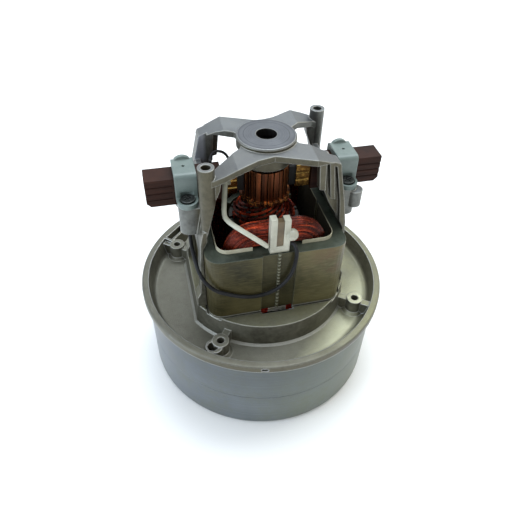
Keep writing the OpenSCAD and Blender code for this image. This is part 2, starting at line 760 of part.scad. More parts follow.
module armature_winding() color("#a23c1e") {
    echo(armature_winding_least_gap = self_gap(armature_path, armature_wire, 4));
    tube_along(armature_path, armature_wire, 6, [1, 0, 0]);
}

module shaft_insulation() color("#d9cfae") {
    bore = shaft_d / 2 + fit;
    ring(sleeve_r, bore, core_top, comm_z - riser_h - core_top);
    ring(sleeve_r, bore, core_z - bottom_rise, bottom_rise);
}

module commutator_bars() color("#9c5a33") {
    turn = 360 / comm_bars;
    for (i = [0:comm_bars - 1]) rotate([0, 0, i * turn]) intersection() {
        turned([[comm_in, comm_z - riser_h], [comm_r + riser_out, comm_z - riser_h], [comm_r + riser_out, comm_z],
            [comm_r, comm_z], [comm_r, comm_z + comm_l], [comm_in, comm_z + comm_l]]);
        far = comm_r + riser_out + 2;
        translate([0, 0, comm_z - riser_h - 1]) linear_extrude(comm_l + riser_h + 2) polygon([
            [bar_gap / 2 / sin(turn / 2), 0], [far, (far - bar_gap / 2 / sin(turn / 2)) * tan(turn / 2)],
            [far, -(far - bar_gap / 2 / sin(turn / 2)) * tan(turn / 2)]]);
    }
}

module commutator_hub() color("#3a2a22")
    ring(comm_in - fit, shaft_d / 2 + fit, comm_z - riser_h, comm_l + riser_h + 0.8);

// Stator

module pole_plan() {
    translate([-pole_w / 2, -window_d / 2 - 1]) square([pole_w, window_d / 2 + 1 - bore_d / 2 + shoe_t]);
    polygon(concat([[0, 0]], arc([0, 0], shoe_r, -147, -33, 24)));
}

module stator_plan() {
    stack_plan();
    for (s = [-1, 1]) translate([0, s * (stack_d / 2 - channel_t)]) circle(r = bead_r);
}

module stack_plan() difference() {
    union() {
        difference() {
            polygon(rounded(stack_w, stack_d, stack_corner));
            polygon(rounded(window_w, window_d, window_corner));
        }
        pole_plan();
        rotate(180) pole_plan();
    }
    circle(d = bore_d);
    for (s = [-1, 1]) translate([0, s * stack_d / 2]) square([channel_w, 2 * channel_t], center = true);
}

module stator_core() color("#565a4c") translate([0, 0, deck_z]) linear_extrude(stack_h) stator_plan();

module slot_liners() color("#e6dfc4") translate([0, 0, deck_z - liner_lip])
    linear_extrude(stack_h + 2 * liner_lip) difference() {
        polygon(rounded(window_w - 2 * fit, window_d - 2 * fit, window_corner));
        polygon(rounded(window_w - 2 * liner_t, window_d - 2 * liner_t, window_corner - liner_t));
        square([pole_w + 2 * fit, window_d], center = true);
        square([window_w + 2, 3], center = true);
    }

// Field coils: a solid bundle under one wound outer layer that shows

module coil_core() color("#8e2f17") intersection() {
    translate([0, 0, coil_mid_z]) upright(-coil_core_y, -coil_back_y) difference() {
        polygon(rounded(2 * coil_out_w, 2 * coil_out_h, coil_corner_out, 8));
        polygon(rounded(2 * coil_in_w, 2 * coil_in_h, coil_corner_in, 4));
    }
    translate([0, 0, coil_mid_z - coil_out_h - 1]) linear_extrude(2 * coil_out_h + 2)
        polygon(rounded(2 * coil_out_w, 2 * coil_core_y, coil_edge));
}

// Turn k of the flat spiral at its step j of 24: five points on each corner and one on each side
function turn_point(k, j) = let (
    grow = (k + j / 24) / coil_turns,
    edge = coil_wire / 2 + 0.1,
    w = mix(coil_in_w + edge, coil_out_w - edge, grow),
    h = mix(coil_in_h + edge, coil_out_h - edge, grow),
    r = mix(coil_corner_in + edge, coil_corner_out - edge, grow),
    q = floor(j / 6),
    s = j % 6,
    side = [[1, -1], [1, 1], [-1, 1], [-1, -1]][q],
    a = 90 * q - 90 + 22.5 * (s - 1))
    s == 0
        ? [[0, -h], [w, 0], [0, h], [-w, 0]][q]
        : [side[0] * (w - r) + r * cos(a), side[1] * (h - r) + r * sin(a)];

// The layer lies on the bundle's front and follows its rounded edges
coil_lie = coil_edge + coil_wire / 2 + coil_lift;
function lie_y(x) = let (past = max(0, abs(x) - coil_edge_x)) -coil_edge_y - sqrt(coil_lie * coil_lie - past * past);
coil_path = [for (k = [0:coil_turns - 1], j = [0:23]) let (p = turn_point(k, j)) [p[0], lie_y(p[0]), p[1] + coil_mid_z]];

module coil_turns_layer() color("#b0442a") {
    echo(field_coil_least_gap = self_gap(coil_path, coil_wire, 5));
    tube_along(coil_path, coil_wire, 6, [0, 1, 0]);
}

module front_coil_core() coil_core();
module back_coil_core() rotate([0, 0, 180]) coil_core();
module front_coil_turns() coil_turns_layer();
module back_coil_turns() rotate([0, 0, 180]) coil_turns_layer();

// Top bracket

module hub() turned([
    [hub_hole_d / 2, hub_top - hub_skin], [hub_hole_d / 2, hub_top], [hub_d / 2 - 0.6, hub_top],
    [hub_d / 2, hub_top - 0.6], [hub_d / 2, plate_bottom], [hub_low_r, plate_bottom - 2], [hub_low_r, hub_bottom],
    [upper_bearing_d / 2 + fit, hub_bottom], [upper_bearing_d / 2 + fit, hub_top - hub_skin]]);

// Right half of the top plate: a plain arm to the front and an arm with a post to the back
module plate_half() {
    translate([0, 0, plate_bottom]) linear_extrude(plate_t) polygon([
        [0, -17.4], [18.7, -25], [31.2, plain_leg_y[0]], [31.2, plain_leg_y[1]], [27.5, -13], [23, -12.4],
        [14.4, -8], [11.5, 0],
        [14.8, 7.5], [17, 9.3], [20.4, 12.2], [23, 13.8], [26.2, 15.8], [29.3, 18.1],
        [post_x + 1.8, post_y - 3.2], [post_x + 1.8, post_y + 3.2], [31, 25.6], [25.5, 25.9], [18.8, 25.1],
        [8.3, 19.4], [0, 17.4]]);
}

// Outline of a leg beside the stack: down its outer edge, round the foot and up its inner edge
leg_low = [
    [leg_x + 1.2, stack_top + 4], [leg_x + 1.8, stack_top - 6], [leg_x + 2.8, deck_z + foot_h + 4],
    [foot_x, deck_z + foot_h], [foot_x, deck_z], [leg_x, deck_z], [leg_x, stack_top + 0.5],
    [leg_x - 2.4, stack_top + 6]
];

// Sloping end of a plain arm, which closes the tops of the ribs under it
module arm_end() upright(plain_leg_y[0], plain_leg_y[1]) polygon([
    [20.4, plate_bottom + 1], [20.4, plate_top], [31.2, plate_top], [31.2, plate_top - 4.6],
    [31.9, plate_top - 6.6], [29.6, plate_top - 6.2], [25.6, plate_bottom - 0.8]]);

// Sloping end of a post arm, down to its post
module post_arm_end() intersection() {
    translate([0, 0, plate_bottom - 10]) linear_extrude(plate_t + 10) polygon([
        [18, 10.2], [20.4, 12.2], [23, 13.8], [26.2, 15.8], [29.3, 18.1], [post_x + 1.8, post_y - 3.2],
        [post_x + 1.8, post_y + 3.2], [31, 25.6], [25.5, 25.9], [18.8, 25.1], [18, 24.7]]);
    upright(8, 30) polygon([
        [18, plate_bottom], [18, plate_top], [arm_slope_x, plate_top],
        [arm_slope_x + 18, plate_top - 18 * tan(arm_slope)],
        [arm_slope_x + 18, plate_bottom - 18 * tan(arm_slope)], [arm_slope_x, plate_bottom]]);
}

// Plain leg: a thin web with three ribs on its front
module plain_leg() {
    bend = [leg_x - 1.8, stack_top + 20.5];
    upright(web_y[0], web_y[1]) polygon(concat([[31.2, plate_top - 4.6], bend], leg_low,
        [[29, stack_top + 16], [24.6, stack_top + 26.5], [23.6, plate_bottom + 0.6]]));
    upright(plain_leg_y[0], web_y[0] + 1) {
        polygon([
            [20.4, plate_bottom + 0.6], [23.8, plate_bottom + 0.6], [25, stack_top + 26.5], [21.8, stack_top + 27.3]]);
        polygon([
            [25.3, plate_bottom + 0.6], [27.8, plate_bottom], [30.8, stack_top + 20.3], [28.2, stack_top + 21.3]]);
        polygon(concat(
            [[28.9, plate_bottom], [31.2, plate_top - 4.6], bend], leg_low, [[33.4, stack_top + 19.5]]));
    }
}

// Inner edge of a post leg, from the arm down to the leg beside the stack
post_edge = [
    [26.8, stack_top + 38], [27.4, stack_top + 34], [29.6, stack_top + 28.5], [31.8, stack_top + 21.5],
    [34, stack_top + 12.5], [leg_x - 1.9, stack_top + 6]
];

// Post leg: a round column that tapers into a web under the arm, on a leg beside the stack
module post_leg() {
    upright(post_leg_y[0], post_leg_y[1])
        polygon(concat([[leg_x - 2.4, stack_top + 12], [leg_x - 0.6, stack_top + 12]], leg_low));
    upright(post_leg_y[0], post_y + 1.4) polygon(concat(
        [[leg_x - 1.1, stack_top + 6], [post_x + 2, stack_top + 11], [post_x + 2, plate_bottom - 4.6],
        [25.6, plate_bottom - 1.2]], post_edge));
    difference() {
        translate([post_x, post_y, stack_top + 8]) cylinder(d = post_d, h = post_top - stack_top - 8);
        upright(post_y - post_d, post_y + post_d)
            polygon(concat([[20, stack_top + 6], [20, stack_top + 38]], post_edge));
    }
}

// Low cheeks between two legs, beside the opening for the brush holder and its clamp
module cheeks() difference() {
    upright(plain_leg_y[1] - 1, post_leg_y[0] + 1) polygon([
        [31, cheek_top], [31 + wall_t, cheek_top], [leg_x + 1.2, stack_top + 4], [leg_x + 1.6, stack_top - cheek_drop],
        [leg_x, stack_top - cheek_drop], [leg_x, stack_top + 0.6], [leg_x + 1 - wall_t, stack_top + 3.5]]);
    translate([20, -clamp_w / 2 - slack, saddle_z]) cube([30, clamp_w + 2 * slack, cheek_top - saddle_z + 1]);
}

// Saddle that carries the brush holder, with a screw column on each side of it
module saddle() {
    back = leg_x - 2.2;
    mid = saddle_end - column_w / 2;
    translate([back, -column_y + 1, saddle_bottom + 2])
        cube([mid - back, 2 * column_y - 2, saddle_z - saddle_bottom - 2]);
    for (s = [-1, 1]) {
        translate([mid, s * (column_y - column_w / 2), saddle_bottom])
            cylinder(d = column_w, h = flange_z - saddle_bottom);
        translate([back, s * (column_y - column_w / 2) - column_w / 2, saddle_bottom])
            cube([mid - back, column_w, flange_z - saddle_bottom]);
    }
    translate([ear_x, -ear_y, flange_z - ear_drop - ear_h]) cylinder(d = ear_d, h = ear_h);
}

module bracket_side() {
    difference() {
        union() {
            plate_half();
            arm_end();
            plain_leg();
        }
        translate([arm_slope_x, -40, plate_top]) rotate([0, arm_slope, 0]) cube([40, 80, 10]);
    }
    post_arm_end();
    post_leg();
    cheeks();
    saddle();
}

module clamp_screw_places() both_sides() {
    for (s = [-1, 1]) translate([clamp_screw_x, s * clamp_screw_y, 0]) children();
}

module top_bracket() color("#9b9b93") difference() {
    union() {
        hub();
        difference() {
            both_sides() bracket_side();
            translate([0, 0, plate_bottom - 20]) cylinder(r = hub_low_r - 0.5, h = 40);
        }
    }
    both_sides() translate([post_x, post_y, post_top - post_hole_l]) cylinder(d = post_hole_d, h = post_hole_l + 1);
    clamp_screw_places() translate([0, 0, flange_z - screw_l]) cylinder(r = screw_r + fit, h = screw_l + 1);
    frame_screw_places() translate([0, 0, deck_z - 1]) cylinder(r = frame_screw_r + fit, h = frame_screw_l);
}

module frame_screws() color("#8a8d8f") frame_screw_places() {
    translate([0, 0, deck_z - drum_wall - frame_head_h]) cylinder(r = frame_head_r, h = frame_head_h);
    translate([0, 0, deck_z - drum_wall - 0.5]) cylinder(r = frame_screw_r, h = frame_screw_l + drum_wall - 1);
}

// Brush gear, drawn for the right side

module box_tube(x0, x1, w, h, t) translate([x0, 0, brush_z]) rotate([90, 0, 90]) linear_extrude(x1 - x0) difference() {
    square([w, h], center = true);
    square([w - 2 * t, h - 2 * t], center = true);
}

module brush_holder() color("#5a2f26") difference() {
    translate([holder_start, -holder_w / 2, brush_z - holder_h / 2])
        cube([holder_end - holder_start, holder_w, holder_h]);
    translate([holder_start - 1, -tube_w / 2 - fit, brush_z - tube_h / 2 - fit])
        cube([holder_end - holder_skin - holder_start + 1, tube_w + 2 * fit, tube_h + 2 * fit]);
    for (z = [-3.6, 0, 3.6], s = [-1, 1])
        translate([clamp_x + clamp_l + 1, s * holder_w / 2 - groove_t, brush_z + z - 0.4])
            cube([holder_end, 2 * groove_t, 0.8]);
    translate([holder_end, 0, brush_z - holder_h / 2]) rotate([0, 45, 0]) cube([3, holder_w + 1, 3], center = true);
}

module brush_tube() color("#c39a45") {
    difference() {
        box_tube(tube_start, tube_end, tube_w, tube_h, tube_t);
        for (z = [-2.1, 2.1], s = [-1, 1]) translate([tube_start - 1, s * tube_w / 2 - tube_t / 2, brush_z + z - 0.6])
            cube([holder_start - tube_start, tube_t, 1.2]);
    }
    translate([tube_end - tube_t, -tube_w / 2, brush_z - tube_h / 2]) cube([tube_t, tube_w, tube_h]);
}

module carbon_brush() color("#33312f") difference() {
    translate([0, -brush_w / 2, brush_z - brush_h / 2]) cube([brush_end, brush_w, brush_h]);
    translate([0, 0, brush_z - comm_l]) cylinder(r = brush_start, h = 2 * comm_l);
}

spring_path = [for (i = [0:8 * spring_turns])
    let (t = i / (8 * spring_turns), a = 45 * i)
    [mix(spring_start + spring_wire / 2, spring_end - spring_wire / 2, t),
        spring_r * cos(a), brush_z + spring_r * sin(a)]];

module brush_spring() color("#b5b8ba") tube_along(spring_path, spring_wire, 6, [1, 0, 0]);

module brush_clamp(tab_side) color("#9fb0a6") difference() {
    z0 = flange_z;
    union() {
        translate([0, tab_side * (clamp_w / 2 - 2), 0]) upright(-1, 1) polygon(concat(
            [[clamp_x + 1.6, clamp_top - 2], [clamp_x + clamp_l - 1.6, clamp_top - 2]],
            arc([clamp_x + clamp_l / 2, clamp_top + tab_h - tab_r], tab_r, 40, 140, 8)));
        translate([clamp_x, 0, 0]) rotate([90, 0, 90]) linear_extrude(clamp_l) polygon(concat(
            [[-clamp_w / 2, z0], [clamp_w / 2, z0]],
            arc([clamp_w / 2 - clamp_edge, clamp_top - clamp_edge], clamp_edge, 0, 90, 5),
            arc([clamp_edge - clamp_w / 2, clamp_top - clamp_edge], clamp_edge, 90, 180, 5)));
        for (s = [-1, 1]) {
            translate([clamp_screw_x, s * clamp_screw_y, z0]) cylinder(r = flange_r, h = flange_t);
            translate([clamp_screw_x - flange_r, s * (clamp_screw_y - flange_tie / 2) - flange_tie / 2, z0])
                cube([2 * flange_r, flange_tie, flange_t]);
        }
    }
    translate([clamp_x - 1, -holder_w / 2 - fit, z0 - 1])
        cube([clamp_l + 2, holder_w + 2 * fit, brush_z + holder_h / 2 + fit - z0 + 1]);
    for (s = [-1, 1]) translate([clamp_screw_x, s * clamp_screw_y, z0 - 1]) {
        cylinder(r = screw_r + 0.15, h = flange_t + 2);
        translate([0, 0, flange_t + 1 - recess_t]) cylinder(r = recess_r, h = recess_t + 3);
    }
    translate([clamp_x + clamp_l / 2, 0, clamp_top - clamp_hole_l]) cylinder(r = clamp_hole_r, h = clamp_hole_l + 1);
}

module clamp_screws() color("#6d7072") clamp_screw_places() {
    seat = flange_z + flange_t - recess_t;
    difference() {
        translate([0, 0, seat]) cylinder(r = screw_head_r, h = screw_head_h);
        for (a = [0, 90]) translate([0, 0, seat + screw_head_h]) rotate([0, 0, a + 20])
            cube([4.2, 0.9, 1.8], center = true);
    }
    translate([0, 0, flange_z - screw_l + 1]) cylinder(r = screw_r, h = seat - flange_z + screw_l - 0.5);
}

module right_brush_holder() half_turn(false) brush_holder();
module left_brush_holder() half_turn(true) brush_holder();
module right_brush_tube() half_turn(false) brush_tube();
module left_brush_tube() half_turn(true) brush_tube();
module right_carbon_brush() half_turn(false) carbon_brush();
module left_carbon_brush() half_turn(true) carbon_brush();
module right_brush_spring() half_turn(false) brush_spring();
module left_brush_spring() half_turn(true) brush_spring();
module right_brush_clamp() half_turn(false) brush_clamp(1);
module left_brush_clamp() half_turn(true) brush_clamp(-1);

// Thermal cut-out in its clip, and the leads

module cutout_clip() color("#e4e4dc") {
    translate([-clip_w / 2, -clip_y, stack_top]) cube([clip_w, clip_d, clip_foot_h]);
    for (x = [-clip_w / 2, clip_w / 2 - jaw_w]) translate([x, -clip_y, stack_top])
        cube([jaw_w, clip_d, clip_h - (x < 0 ? 0 : 1)]);
    translate([clip_w / 2 - 1, -clip_y + knob_d / 2 - knob_out, stack_top + clip_h * 0.48]) {
        rotate([0, 90, 0]) cylinder(d = knob_d, h = stub_l);
        translate([stub_l, 0, 0]) sphere(d = knob_d);
    }
}

module thermal_cutout() color("#b39a6a")
    translate([-can_w / 2, -clip_y + 0.5, stack_top + clip_foot_h]) cube([can_w, clip_d - 1, clip_h - clip_foot_h - 2]);

module lead_sleeve() color("#e9e8de") tube_along(sleeve_route, sleeve_d, 8, [1, 0, 0]);
module black_lead() color("#1b1b1b") tube_along(lead_route, lead_d, 8, [1, 0, 0]);
module brush_lead() color("#2a2b30") tube_along(brush_lead_route, brush_lead_d, 8, [1, 0, 0]);

lower_shell();
upper_shell();
first_stage_fan();
second_stage_fan();
guide_plate();
fan_spacers();
fan_washer();
shaft_nut();
lower_bracket();
lower_bearing_outer();
lower_bearing_inner();
lower_bearing_balls();
shaft();
armature_core();
armature_winding();
shaft_insulation();
commutator_bars();
commutator_hub();
stator_core();
slot_liners();
front_coil_core();
front_coil_turns();
back_coil_core();
back_coil_turns();
upper_bearing_outer();
upper_bearing_inner();
upper_bearing_balls();
bearing_spring();
top_bracket();
frame_screws();
right_brush_holder();
left_brush_holder();
right_brush_tube();
left_brush_tube();
right_carbon_brush();
left_carbon_brush();
right_brush_spring();
left_brush_spring();
right_brush_clamp();
left_brush_clamp();
clamp_screws();
cutout_clip();
thermal_cutout();
lead_sleeve();
black_lead();
brush_lead();
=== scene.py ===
"""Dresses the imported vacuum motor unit: camera, leads, wound coils, finishes, floor and light.

Shapes are in millimetres, brought to the frame's metres by MM. Finishes and lights are in metres. The frame's
+Z runs up the shaft, X runs along the two brushes, and the front of the motor is towards -Y.
"""

import json

import bpy
import numpy as np
from mathutils import Matrix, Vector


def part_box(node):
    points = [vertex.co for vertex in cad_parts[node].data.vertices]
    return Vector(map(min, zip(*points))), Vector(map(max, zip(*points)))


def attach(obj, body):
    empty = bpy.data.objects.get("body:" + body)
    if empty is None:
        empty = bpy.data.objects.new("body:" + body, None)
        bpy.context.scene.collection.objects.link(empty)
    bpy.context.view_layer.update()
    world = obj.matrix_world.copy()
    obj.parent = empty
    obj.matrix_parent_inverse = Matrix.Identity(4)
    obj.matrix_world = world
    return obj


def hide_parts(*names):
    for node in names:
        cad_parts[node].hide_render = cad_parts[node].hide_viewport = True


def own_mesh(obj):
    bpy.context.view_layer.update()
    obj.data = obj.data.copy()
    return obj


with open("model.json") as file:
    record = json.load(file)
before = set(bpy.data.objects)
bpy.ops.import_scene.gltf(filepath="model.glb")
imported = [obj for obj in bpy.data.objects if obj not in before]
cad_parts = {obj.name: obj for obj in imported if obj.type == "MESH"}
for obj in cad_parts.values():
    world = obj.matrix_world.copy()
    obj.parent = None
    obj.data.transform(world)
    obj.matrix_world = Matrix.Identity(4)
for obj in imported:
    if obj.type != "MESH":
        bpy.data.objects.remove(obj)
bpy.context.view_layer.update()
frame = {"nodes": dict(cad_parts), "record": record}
MM = 0.001


# Camera: fitted to the rim, base and drum in the photograph

PHOTO_SIZE = 532
FOCAL_PIXELS = 500.0
PRINCIPAL_POINT = (264.0, 265.0)
SENSOR_WIDTH = 36.0
CAMERA_PLACE = np.array([-56.3, -210.3, 277.1])
HEADING = np.radians(15.35)
PITCH = np.radians(44.2)
ROLL = np.radians(2.33)


def make_camera():
    """Looks along the heading, pitched down, and rolled about its own line of sight."""
    ahead = np.array([np.sin(HEADING) * np.cos(PITCH), np.cos(HEADING) * np.cos(PITCH), -np.sin(PITCH)])
    level = np.array([np.cos(HEADING), -np.sin(HEADING), 0.0])
    above = np.cross(level, ahead)
    right = np.cos(ROLL) * level + np.sin(ROLL) * above
    up = np.cos(ROLL) * above - np.sin(ROLL) * level
    data = bpy.data.cameras.new("photo_camera")
    data.sensor_width = SENSOR_WIDTH
    data.lens = SENSOR_WIDTH * FOCAL_PIXELS / PHOTO_SIZE
    data.shift_x = (PHOTO_SIZE / 2 - PRINCIPAL_POINT[0]) / PHOTO_SIZE
    data.shift_y = (PRINCIPAL_POINT[1] - PHOTO_SIZE / 2) / PHOTO_SIZE
    data.clip_start = 0.01
    camera = bpy.data.objects.new("photo_camera", data)
    turn = Matrix(np.column_stack([right, up, -ahead]).tolist()).to_4x4()
    camera.matrix_world = Matrix.Translation(CAMERA_PLACE * MM) @ turn
    bpy.context.scene.collection.objects.link(camera)
    bpy.context.scene.camera = camera


make_camera()


# Lines, tubes and meshes

def unit(vectors):
    """Vectors divided by their lengths."""
    return vectors / np.linalg.norm(vectors, axis=-1, keepdims=True)


def mix(a, b, t):
    """The value a share t of the way from a to b."""
    return a + (b - a) * t


def smooth_line(points, steps):
    """A curve through the points: a cubic on each span, its end slopes half the step between the
    neighbours."""
    p = np.asarray(points, float)
    p = np.vstack([2 * p[0] - p[1], p, 2 * p[-1] - p[-2]])
    a, b, c, d = (p[i:len(p) - 3 + i, None, :] for i in range(4))
    t = np.linspace(0, 1, steps, endpoint=False)[None, :, None]
    curve = 0.5 * (2 * b + (c - a) * t + (2 * a - 5 * b + 4 * c - d) * t**2 + (3 * (b - c) + d - a) * t**3)
    return np.vstack([curve.reshape(-1, 3), p[-2]])


def across(line, hint):
    """Two unit directions square to a line at each point: the hint less its part along the line, and the
    cross product of the line's direction with that."""
    ahead = unit(np.gradient(line, axis=0))
    hint = np.broadcast_to(np.asarray(hint, float), line.shape)
    side = unit(hint - np.sum(hint * ahead, axis=1, keepdims=True) * ahead)
    return side, np.cross(ahead, side)


def wall_faces(rows, columns, first=0):
    """Quads between neighbouring rings of vertices, each ring closed on itself."""
    row, column = np.meshgrid(np.arange(rows - 1), np.arange(columns), indexing="ij")
    here = first + row * columns
    beside = (column + 1) % columns
    above = here + columns
    quads = np.stack([here + column, here + beside, above + beside, above + column], axis=-1)
    return quads.reshape(-1, 4)


def tube(line, radius, sides, hint):
    """A ring of points round each point of a line: the point plus the radius times a turned cross
    direction."""
    side, up = across(line, hint)
    turn = np.linspace(0, 2 * np.pi, sides, endpoint=False)[None, :, None]
    return line[:, None, :] + radius * (np.cos(turn) * side[:, None, :] + np.sin(turn) * up[:, None, :])


def tube_mesh(name, rings):
    """A mesh of one or more stacks of rings with closed ends, mapped by turns round and millimetres
    along."""
    stacks = rings if isinstance(rings, list) else [rings]
    vertices = np.vstack([r.reshape(-1, 3) for r in stacks])
    faces, corners, first = [], [], 0
    for r in stacks:
        rows, sides = r.shape[:2]
        faces += wall_faces(rows, sides, first).tolist()
        along = np.concatenate([[0], np.cumsum(np.linalg.norm(np.diff(r.mean(axis=1), axis=0), axis=1))])
        u = np.repeat(np.arange(sides)[None, :], rows - 1, axis=0) / sides
        v0, v1 = (np.repeat(a[:, None], sides, axis=1) for a in (along[:-1], along[1:]))
        wall = np.stack([u, v0, u + 1 / sides, v0, u + 1 / sides, v1, u, v1], axis=-1)
        faces += [list(range(first, first + sides))[::-1]]
        faces += [list(range(first + (rows - 1) * sides, first + rows * sides))]
        corners += [wall.ravel(), np.zeros(4 * sides)]
        first += rows * sides
    mesh = bpy.data.meshes.new(name)
    mesh.from_pydata((vertices * MM).tolist(), [], faces)
    mesh.uv_layers.new(name="along").uv.foreach_set("vector", np.concatenate(corners).astype(np.float32))
    mesh.shade_smooth()
    mesh.validate()
    return mesh


def add_piece(mesh, material, body, slot, *nodes):
    """A piece that rides on a body and stands for CAD nodes."""
    mesh.materials.append(material)
    piece = bpy.data.objects.new(mesh.name, mesh)
    bpy.context.scene.collection.objects.link(piece)
    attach(piece, body)
    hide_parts(*nodes)
    return piece


# Shader helpers

def add_node(tree, kind, inputs=None, **settings):
    """A node whose inputs are set to values, or linked where an input is given another node's socket."""
    node = tree.nodes.new(kind)
    for key, value in settings.items():
        setattr(node, key, value)
    for key, value in (inputs or {}).items():
        if isinstance(value, bpy.types.NodeSocket):
            tree.links.new(value, node.inputs[key])
        else:
            node.inputs[key].default_value = value
    return node


def maths(tree, operation, a, b=0.0):
    """The output of a Math node on two values or sockets."""
    return add_node(tree, "ShaderNodeMath", {0: a, 1: b}, operation=operation).outputs[0]


def times(tree, a, b):
    """The product of two values or sockets."""
    return maths(tree, "MULTIPLY", a, b)


def vector_maths(tree, operation, *vectors):
    """A Vector Math node on one or two vectors."""
    return add_node(tree, "ShaderNodeVectorMath", dict(enumerate(vectors)), operation=operation)


def ranged(tree, value, low, high, to_low=0.0, to_high=1.0):
    """A value carried from one range to another and held inside it."""
    keys = {"Value": value, "From Min": low, "From Max": high, "To Min": to_low, "To Max": to_high}
    return add_node(tree, "ShaderNodeMapRange", keys).outputs["Result"]


def blended(tree, share, a, b, blend="MIX"):
    """Colour a turning to colour b by a share, or multiplied by it, and held between 0 and 1."""
    node = add_node(tree, "ShaderNodeMix", data_type="RGBA", blend_type=blend, clamp_result=True)
    for key, value in (("Factor", share), ("A", a), ("B", b)):
        socket = next(s for s in node.inputs if s.name == key and s.enabled)
        if isinstance(value, bpy.types.NodeSocket):
            tree.links.new(value, socket)
        else:
            socket.default_value = (*value, 1.0) if key != "Factor" else value
    return next(s for s in node.outputs if s.enabled)


def new_group(name, inputs, outputs):
    """An empty shader group with named sockets, and its two end nodes."""
    tree = bpy.data.node_groups.new(name, "ShaderNodeTree")
    for label, value in inputs.items():
        socket = tree.interface.new_socket(label, in_out="INPUT", socket_type="NodeSocketFloat")
        socket.default_value = value
    for label, kind in outputs.items():
        tree.interface.new_socket(label, in_out="OUTPUT", socket_type=kind)
    return tree, tree.nodes.new("NodeGroupInput"), tree.nodes.new("NodeGroupOutput")


def use(tree, group, **values):
    """A group placed in a material with its own values."""
    node = tree.nodes.new("ShaderNodeGroup")
    node.node_tree = group
    for key, value in values.items():
        node.inputs[key].default_value = value
    return node


def noise(tree, vector, scale, detail=3.0, rough=0.55):
    """The grey output of a noise with so many features to the metre."""
    keys = {"Vector": vector, "Scale": scale, "Detail": detail, "Roughness": rough}
    return add_node(tree, "ShaderNodeTexNoise", keys).outputs["Fac"]


def line_noise(tree, track, scale, detail, rough=0.5):
    """The grey output of a noise that runs along one number."""
    keys = {"W": track, "Scale": scale, "Detail": detail, "Roughness": rough}
    return add_node(tree, "ShaderNodeTexNoise", keys, noise_dimensions="1D").outputs["Fac"]


def coordinates(tree):
    """Object coordinates, in metres."""
    return add_node(tree, "ShaderNodeTexCoord").outputs["Object"]


def parts_of(tree, vector):
    """The three parts of a vector."""
    return add_node(tree, "ShaderNodeSeparateXYZ", {0: vector}).outputs


def position(tree):
    """Object coordinates, and their three parts."""
    where = coordinates(tree)
    return where, parts_of(tree, where)


def own_normal(tree):
    """The normal of the surface itself, before any softened edge or bump."""
    return add_node(tree, "ShaderNodeNewGeometry").outputs["Normal"]


def upward(tree, low=0.3, high=0.9):
    """How far the surface looks up: 1 on level tops, 0 on upright sides and beneath."""
    return ranged(tree, parts_of(tree, own_normal(tree))[2], low, high)


def level_reach(tree, parts):
    """A place's level part, and the length of that, which is the distance from the shaft's axis."""
    flat = add_node(tree, "ShaderNodeCombineXYZ", {0: parts[0], 1: parts[1]}).outputs[0]
    return flat, vector_maths(tree, "LENGTH", flat).outputs["Value"]


def stretched(tree, where, share):
    """Coordinates whose level parts are shrunk to a share, so that noise on them runs in level streaks."""
    return add_node(tree, "ShaderNodeMapping", {"Vector": where, "Scale": (share, share, 1.0)}).outputs[0]


# Effects that several finishes share

def make_rounded_edges():
    """Edges softened over a width: the rounded normal, and a mask that is strong where it leaves the
    surface's own."""
    tree, start, end = new_group(
        "rounded edges", {"Width": 0.0005}, {"Normal": "NodeSocketVector", "Edge": "NodeSocketFloat"})
    bevel = add_node(tree, "ShaderNodeBevel", {"Radius": start.outputs["Width"]}, samples=6).outputs[0]
    agree = vector_maths(tree, "DOT_PRODUCT", bevel, own_normal(tree)).outputs["Value"]
    tree.links.new(bevel, end.inputs["Normal"])
    tree.links.new(ranged(tree, agree, 0.995, 0.85), end.inputs["Edge"])
    return tree


def make_cast_grain():
    """Die-cast skin: broad patches and specks for the tone, and the specks with fine pitting for the
    height."""
    tree, start, end = new_group(
        "cast grain", {"Grain": 1500.0}, {"Tone": "NodeSocketFloat", "Height": "NodeSocketFloat"})
    where = coordinates(tree)
    patches = noise(tree, where, 55.0, 5.0, 0.6)
    specks = noise(tree, where, 420.0, 4.0, 0.65)
    fine = noise(tree, where, start.outputs["Grain"], 3.0, 0.6)
    tone = maths(tree, "ADD", times(tree, patches, 0.6), times(tree, specks, 0.4))
    tree.links.new(ranged(tree, tone, 0.36, 0.64), end.inputs["Tone"])
    height = maths(tree, "ADD", times(tree, fine, 0.6), times(tree, specks, 0.7))
    tree.links.new(height, end.inputs["Height"])
    return tree


def make_turned_rings():
    """Marks of a lathe or a drawing die: noise on the sum of the radius and the height, so that rings run
    round the shaft, with clouds over them."""
    tree, start, end = new_group(
        "turned rings", {"Rings": 1600.0}, {"Tone": "NodeSocketFloat", "Height": "NodeSocketFloat"})
    where, parts = position(tree)
    track = maths(tree, "ADD", level_reach(tree, parts)[1], parts[2])
    lines = line_noise(tree, track, start.outputs["Rings"], 3.0)
    clouds = noise(tree, where, 40.0, 4.0, 0.6)
    tone = maths(tree, "ADD", times(tree, lines, 0.4), times(tree, clouds, 0.6))
    tree.links.new(ranged(tree, tone, 0.36, 0.64), end.inputs["Tone"])
    tree.links.new(lines, end.inputs["Height"])
    return tree


def make_settled_dust():
    """Dust on faces that look up, thinned by noise: a mask."""
    tree, start, end = new_group("settled dust", {"Amount": 0.3}, {"Mask": "NodeSocketFloat"})
    thin = ranged(tree, noise(tree, coordinates(tree), 160.0, 6.0, 0.7), 0.35, 0.7)
    mask = times(tree, times(tree, upward(tree, 0.25, 0.95), thin), start.outputs["Amount"])
    tree.links.new(mask, end.inputs["Mask"])
    return tree


